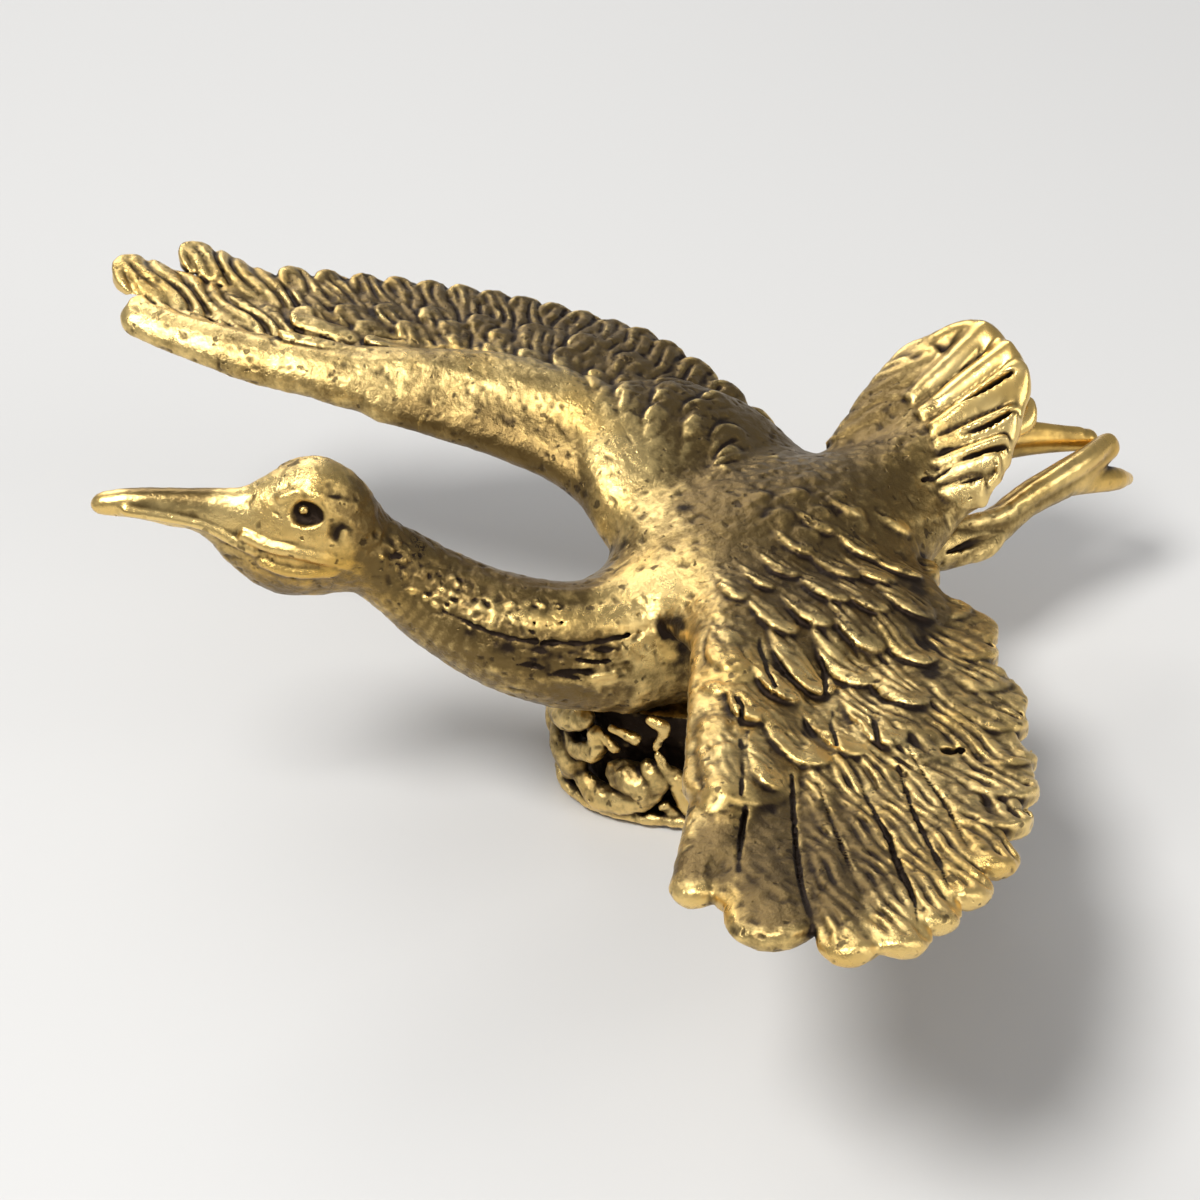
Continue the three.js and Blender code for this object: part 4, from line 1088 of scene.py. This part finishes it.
COARSE = [
    (6.4, 1.0, 15.0, 5.0, 1.8), (-14.4, 6.0, 17.6, 3.0, 2.2), (-11.6, 3.4, 15.4, 2.4, 1.2),
    (-10.5, -1.4, 12.6, 1.4, 3.0), (-8.4, -2.6, 11.9, 1.6, 3.0), (-6.0, -3.2, 11.8, 1.6, 2.6),
    (-12.6, 0.6, 13.4, 1.4, 2.4), (3.0, 20.0, 17.6, 6.0, 0.7), (8.0, 12.0, 15.4, 6.0, 0.7),
    (-3.0, 25.0, 19.0, 5.0, 0.6), (13.4, 1.0, 13.2, 3.0, 1.2), (20.5, 0.0, 15.5, 5.0, -1.0),
    (26.0, -2.0, 9.6, 7.0, -0.8), (-3.6, -7.6, 14.8, 2.4, 1.2), (-6.5, -11.0, 15.4, 2.4, 1.4),
    (-10.0, -15.0, 16.4, 2.6, 1.2), (-3.0, -24.5, 15.4, 5.0, 1.6), (3.4, -17.4, 13.2, 5.0, 1.6),
    (-10.0, -25.0, 16.8, 4.0, 0.9), (8.6, -9.6, 11.4, 3.4, 1.2), (-24.4, 12.0, 20.6, 3.5, -0.6),
    (-6.6, -2.0, 3.0, 4.5, 2.6), (0.0, 0.0, 3.0, 8.0, 0.8),
]


def boss_recess_shade(points):
    """Painted shade: 1 in the recesses of the boss's side, and nothing on its scrolls or above it."""
    x, y, z = points.T
    share = np.hypot(x, y) / boss_radius(np.arctan2(y, x))
    return smooth((0.88 - share) / 0.08) * (z < BODY_SEAT) * (z > 0.2)


def crack_shade(points, lines, reach):
    """How much painted shade lies along these lines, seen from above."""
    total = np.zeros(len(points), np.float32)
    for line in lines:
        for start, end in zip(line, line[1:]):
            start, run = np.array(start), np.array(end) - np.array(start)
            away = points[:, :2] - start
            t = np.clip(away @ run / (run @ run), 0, 1)
            gap = np.hypot(*(away - t[:, None] * run).T)
            total = np.maximum(total, np.exp(-(gap / reach) ** 2))
    return total * (0.35 + 0.65 * smooth((GRAIN.at(points, 0.7) - 0.3) / 0.3))


def amount_at(points, places):
    """The sum of round patches, each with the place, reach and share in the middle of one row."""
    total = np.zeros(len(points), np.float32)
    for *place, reach, share in places:
        total += share * np.exp(-np.sum((points - np.array(place)) ** 2, axis=1) / reach**2)
    return total


# Skins to pieces

def normals_of(mesh):
    """The way out of the metal at each point of a mesh."""
    normals = np.zeros(len(mesh.vertices) * 3, np.float32)
    mesh.vertex_normals.foreach_get("vector", normals)
    return normals.reshape(-1, 3)


def cast(name, field, material, node):
    """Makes a piece from a field: its skin, its uneven surface, how hollow or sharp each place is, and the
    painted shade and highlights in its colour.
    """
    points, faces = field.skin()
    mesh = bpy.data.meshes.new(name)
    mesh.vertices.add(len(points))
    mesh.vertices.foreach_set("co", (points * MM).astype(np.float32).ravel())
    mesh.loops.add(faces.size)
    mesh.loops.foreach_set("vertex_index", faces.astype(np.int32).ravel())
    mesh.polygons.add(len(faces))
    mesh.polygons.foreach_set("loop_start", np.arange(0, faces.size, 4, dtype=np.int32))
    mesh.polygons.foreach_set("use_smooth", np.ones(len(faces), bool))
    mesh.update(calc_edges=True)
    normals = normals_of(mesh)

    def open_space(reach):
        return np.clip(1 - field.sample(points + normals * reach) / reach, 0, 1.6)

    def thin_metal(reach):
        return np.clip(1 + field.sample(points - normals * reach) / reach, 0, 1.6)

    def bend(reach):
        """How far the skin bulges out, or caves in below nothing, within a reach."""
        around = -6 * field.sample(points)
        for axis in range(3):
            for hand in (-reach, reach):
                around += field.sample(points + np.eye(3)[axis] * hand)
        return np.clip(around / reach * 0.8, -1, 1)

    hollow = 0.55 * open_space(0.2) + 0.45 * open_space(0.4)
    # Painted shade: how closed in each place is over a wide reach, which darkens the colour
    shade = open_space(1.2)
    sharp = 0.4 * thin_metal(0.25) + 0.35 * thin_metal(0.55) + 0.25 * thin_metal(1.1)
    moved, bumps, pits, grain = roughen(points, normals)
    crest = np.clip(0.55 * bend(0.2) + 0.45 * bend(0.4) + 5 * bumps, -1, 1)
    moved[:, 2] = np.maximum(moved[:, 2], 0)
    # Worn brightness with painted highlights, and dull patches with painted shade
    wear_and_painted_light = np.clip(amount_at(points, RUBBED_AND_PAINTED_LIGHT), -1, 1.2)
    # Painted shade: black patches in recesses, gaps and dents, and along the rough band low on the neck
    painted_shade = amount_at(points, PAINTED_SHADE_SPOTS)
    # Painted shade in the boss's deep recess
    if node == "cloud_base":
        painted_shade = painted_shade + boss_recess_shade(points)
    # Painted shade in the fissures between the near wing's feathers, and wider along the edge of its short
    # feathers
    if node == "left_wing":
        painted_shade = painted_shade + crack_shade(points, LEFT_CRACKS + LEFT_SEAMS, 0.14)
        painted_shade = painted_shade + 0.35 * crack_shade(points, LEFT_BORDER, 0.7)
    warmth = np.clip(amount_at(points, WARM), 0, 1)
    mesh.vertices.foreach_set("co", (moved * MM).astype(np.float32).ravel())
    facts = {"hollow": hollow, "shade": shade, "sharp": sharp, "crest": crest, "pits": pits, "wear_and_painted_light": wear_and_painted_light,
             "painted_shade": np.clip(painted_shade, 0, 1), "warmth": warmth, "grain": grain}
    for word, values in facts.items():
        attribute = mesh.attributes.new(word, "FLOAT", "POINT")
        attribute.data.foreach_set("value", values.astype(np.float32))
    mesh.update()
    mesh.materials.append(material)
    piece = bpy.data.objects.new(name, mesh)
    bpy.context.scene.collection.objects.link(piece)
    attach(piece, "root")
    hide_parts(node)
    return piece


def build_field(low, high, step, shapes, lift, cuts):
    """The field of all these shapes between two corners, cut at the planes of its seats. Each cut is an
    axis, a place on it and the side that is kept."""
    field = Field(low, high, step, lift)
    for shape in shapes:
        field.add(shape)
    field.whole = field.value
    for axis, at, side in cuts:
        field.keep(axis, at, side)
    return field


# Brass

GOLD = (0.90, 0.655, 0.26)
AMBER = (0.70, 0.43, 0.10)
OLIVE = (0.185, 0.122, 0.044)
DARK = (0.030, 0.020, 0.014)
POLISHED = 0.24
BUMP_DEPTH = 0.00007


def brass(name):
    """Antique brass: patina and painted shade dark in the hollows, olive brown on the broad skin, and
    bright gold where hands rub and where highlights are painted.
    """
    material = bpy.data.materials.new(name)
    material.use_nodes = True
    tree = material.node_tree
    tree.nodes.clear()
    link = tree.links.new
    place = tree.nodes.new("ShaderNodeTexCoord").outputs["Object"]

    def value(word):
        node = tree.nodes.new("ShaderNodeAttribute")
        node.attribute_name = word
        return node.outputs["Fac"]

    def combine(kind, a, b):
        node = tree.nodes.new("ShaderNodeMath")
        node.operation = kind
        for socket, item in zip(node.inputs, (a, b)):
            if isinstance(item, (int, float)):
                socket.default_value = item
            else:
                link(item, socket)
        return node.outputs[0]

    def times(a, b):
        return combine("MULTIPLY", a, b)

    def weigh(parts):
        total = 0.0
        for share, source in parts:
            total = combine("ADD", times(source, share), total)
        return total

    def ramp(source, low, high):
        node = tree.nodes.new("ShaderNodeMapRange")
        node.interpolation_type = "SMOOTHSTEP"
        link(source, node.inputs["Value"])
        node.inputs["From Min"].default_value = low
        node.inputs["From Max"].default_value = high
        return node.outputs["Result"]

    def noise(scale, detail, rough):
        node = tree.nodes.new("ShaderNodeTexNoise")
        link(place, node.inputs["Vector"])
        node.inputs["Scale"].default_value = scale
        node.inputs["Detail"].default_value = detail
        node.inputs["Roughness"].default_value = rough
        return node.outputs["Fac"]

    def mix(share, a, b):
        node = tree.nodes.new("ShaderNodeMix")
        node.data_type = "RGBA"
        link(share, node.inputs["Factor"])
        for socket, item in ((node.inputs[6], a), (node.inputs[7], b)):
            if isinstance(item, tuple):
                socket.default_value = (*item, 1)
            else:
                link(item, socket)
        return node.outputs[2]

    hollow, shade, sharp = value("hollow"), value("shade"), value("sharp")
    crest, pits, wear_and_painted_light, painted_shade = value("crest"), value("pits"), value("wear_and_painted_light"), value("painted_shade")
    grain = value("grain")
    clouds = noise(260, 4, 0.6)
    mottles = noise(620, 4, 0.6)
    relief = combine("ADD", times(combine("SUBTRACT", noise(2600, 5, 0.7), 0.5), grain), 0.5)
    specks = times(ramp(noise(1700, 2, 0.5), 0.66, 0.74), grain)
    flecks = times(ramp(noise(760, 3, 0.6), 0.64, 0.7), grain)
    edge = times(crest, ramp(noise(900, 3, 0.6), 0.3, 0.62))
    # Bright gold: worn edges and painted highlights, less in the hollows and in painted shade
    wear_and_painted_highlight = ramp(weigh([
        (0.25, crest), (0.85, edge), (0.5, sharp), (-0.4, hollow), (-0.25, shade), (0.6, clouds),
        (0.7, mottles), (1.1, relief), (0.75, wear_and_painted_light),
    ]), 1.0, 2.0)
    # Dark: patina in the hollows, pits and specks, with painted shade from wide recesses and the painted
    # black patches
    patina_and_painted_shade = ramp(weigh([
        (-1.0, crest), (0.8, hollow), (0.45, shade), (0.7, mottles), (-0.7, relief), (-0.35, wear_and_painted_light),
        (1.2, painted_shade),
    ]), 0.28, 1.2)
    for share, dirt in ((0.7, pits), (0.7, specks), (0.8, flecks)):
        patina_and_painted_shade = combine("MAXIMUM", patina_and_painted_shade, times(dirt, share))
    warm = combine("MAXIMUM", times(ramp(noise(170, 3, 0.6), 0.4, 0.66), 0.6), value("warmth"))
    colour = mix(patina_and_painted_shade, mix(wear_and_painted_highlight, OLIVE, mix(warm, GOLD, AMBER)), DARK)
    rough = combine("ADD", weigh([(0.22, patina_and_painted_shade), (0.2, mottles), (-0.06, wear_and_painted_highlight)]), POLISHED)
    bump = tree.nodes.new("ShaderNodeBump")
    bump.inputs["Strength"].default_value = 1.0
    bump.inputs["Distance"].default_value = BUMP_DEPTH
    link(combine("SUBTRACT", relief, times(specks, 0.6)), bump.inputs["Height"])
    shader = tree.nodes.new("ShaderNodeBsdfPrincipled")
    shader.inputs["Metallic"].default_value = 1.0
    link(colour, shader.inputs["Base Color"])
    link(rough, shader.inputs["Roughness"])
    link(bump.outputs["Normal"], shader.inputs["Normal"])
    out = tree.nodes.new("ShaderNodeOutputMaterial")
    link(shader.outputs["BSDF"], out.inputs["Surface"])
    return material


# Pieces

cast_brass = brass("cast brass")
boss_brass = brass("boss brass")

smooth_bird = [*body_base(), *left_wing_base(), *right_wing_base(), *neck_base()]
flight = [*left_flight(), *right_flight()]
top = Drape([*smooth_bird, *flight], (-20.0, -34.0), (24.0, 35.0)).lift
bird = [*smooth_bird, *flight, *tail_shapes(), *left_coverts(top), *right_coverts(top), *back_scales(top),
        *neck_details()]

cast("crane_boss", build_field((-9.2, -7.8, -0.6), (9.4, 7.4, 8.0), BOSS_STEP, boss_shapes(), None, []),
     boss_brass, "cloud_base")

# Each row is a piece and its node, the corners and step of its grid, its shapes, the wing surface that
# its heights are measured from, and its cuts
pieces = [
    ("crane_body", "body", (-5.4, -5.6, 4.6), (13.4, 5.6, 15.8), BODY_STEP, bird, None,
     [(0, BREAST_X, 1), (0, RUMP_X, -1), (1, -WING_ROOT_Y, 1), (1, WING_ROOT_Y, -1)]),
    ("crane_neck", "neck_and_head", (-27.6, -4.6, 6.0), (-3.4, 15.4, 23.0), HEAD_STEP, bird, None,
     [(0, BREAST_X, -1)]),
    ("crane_left_wing", "left_wing", (-20.0, -34.4, -6.6), (13.0, -3.6, 3.6), WING_STEP, bird, LEFT.lift,
     [(1, -WING_ROOT_Y, -1)]),
    ("crane_right_wing", "right_wing", (-18.0, 3.6, -6.6), (13.4, 35.4, 3.6), WING_STEP, bird, RIGHT.lift,
     [(1, WING_ROOT_Y, 1)]),
    ("crane_tail", "tail_fan", (11.6, -6.4, 8.6), (24.0, 7.0, 19.0), BODY_STEP, bird, None,
     [(0, RUMP_X, 1)]),
    ("crane_left_leg", "left_leg", (10.0, -6.0, 5.6), (28.6, 0.6, 11.8), LEG_STEP, left_leg_shapes(),
     None, []),
    ("crane_right_leg", "right_leg", (10.0, -2.6, 6.4), (28.6, 4.6, 12.4), LEG_STEP, right_leg_shapes(),
     None, []),
]
for name, node, low, high, step, shapes, lift, cuts in pieces:
    cast(name, build_field(low, high, step, shapes, lift, cuts), cast_brass, node)


# Floor, light and camera, in metres

FLOOR_REACH = 2.0
FLOOR_COLOUR = (0.62, 0.61, 0.59)
SKY_COLOUR = (0.93, 0.95, 1.0)
SKY_STRENGTH = 0.36
LAMP_AIM = (0, 0, 0.01)
LAMPS = [
    ("key", (-0.16, -0.02, 0.30), 0.12, 1.0),
    ("fill", (0.10, -0.28, 0.16), 0.22, 0.35),
    ("rim", (0.10, 0.30, 0.22), 0.2, 0.45),
]


def make_floor():
    """A pale matt floor at the underside of the boss."""
    material = bpy.data.materials.new("floor")
    material.use_nodes = True
    shader = material.node_tree.nodes["Principled BSDF"]
    shader.inputs["Base Color"].default_value = (*FLOOR_COLOUR, 1)
    shader.inputs["Roughness"].default_value = 0.8
    mesh = bpy.data.meshes.new("floor")
    corners = [(x * FLOOR_REACH, y * FLOOR_REACH, 0) for x, y in ((-1, -1), (1, -1), (1, 1), (-1, 1))]
    mesh.from_pydata(corners, [], [(0, 1, 2, 3)])
    mesh.materials.append(material)
    floor = bpy.data.objects.new("floor", mesh)
    bpy.context.scene.collection.objects.link(floor)


def make_light(name, place, size, power):
    """A round lamp that points at the bird."""
    lamp = bpy.data.lights.new(name, "AREA")
    lamp.shape = "DISK"
    lamp.size = size
    lamp.energy = power
    spot = bpy.data.objects.new(name, lamp)
    spot.location = place
    spot.rotation_euler = (Vector(LAMP_AIM) - Vector(place)).to_track_quat("-Z", "Y").to_euler()
    bpy.context.scene.collection.objects.link(spot)


def make_world():
    """Soft light from all round."""
    world = bpy.data.worlds.new("studio")
    bpy.context.scene.world = world
    world.use_nodes = True
    background = world.node_tree.nodes["Background"]
    background.inputs["Color"].default_value = (*SKY_COLOUR, 1)
    background.inputs["Strength"].default_value = SKY_STRENGTH


CAMERA_AZIMUTH = -34.0
CAMERA_ELEVATION = 36.5
CAMERA_ROLL = 3.8
CAMERA_DISTANCE = 0.158
CAMERA_AIM = Vector((0.00360, 0.01482, 0.0))
CAMERA_LENS = 81.0


def make_camera():
    """A camera that looks down at the near wing and rolls a little, aimed at CAMERA_AIM."""
    data = bpy.data.cameras.new("camera")
    data.lens = CAMERA_LENS
    data.sensor_width = 36
    data.clip_start = 0.01
    data.clip_end = 10
    camera = bpy.data.objects.new("camera", data)
    bpy.context.scene.collection.objects.link(camera)
    azimuth, elevation = math.radians(CAMERA_AZIMUTH), math.radians(CAMERA_ELEVATION)
    back = Vector((math.sin(azimuth) * math.cos(elevation), -math.cos(azimuth) * math.cos(elevation),
                   math.sin(elevation)))
    right = Vector((math.cos(azimuth), math.sin(azimuth), 0))
    up = back.cross(right)
    turn = math.radians(CAMERA_ROLL)
    x_axis = right * math.cos(turn) - up * math.sin(turn)
    y_axis = right * math.sin(turn) + up * math.cos(turn)
    place = CAMERA_AIM + back * CAMERA_DISTANCE
    camera.matrix_world = Matrix((
        (x_axis.x, y_axis.x, back.x, place.x),
        (x_axis.y, y_axis.y, back.y, place.y),
        (x_axis.z, y_axis.z, back.z, place.z),
        (0, 0, 0, 1),
    ))
    bpy.context.scene.camera = camera


make_floor()
make_world()
for name, place, size, power in LAMPS:
    make_light(name, place, size, power)
make_camera()

view_settings = bpy.context.scene.view_settings
view_settings.view_transform = "Standard"
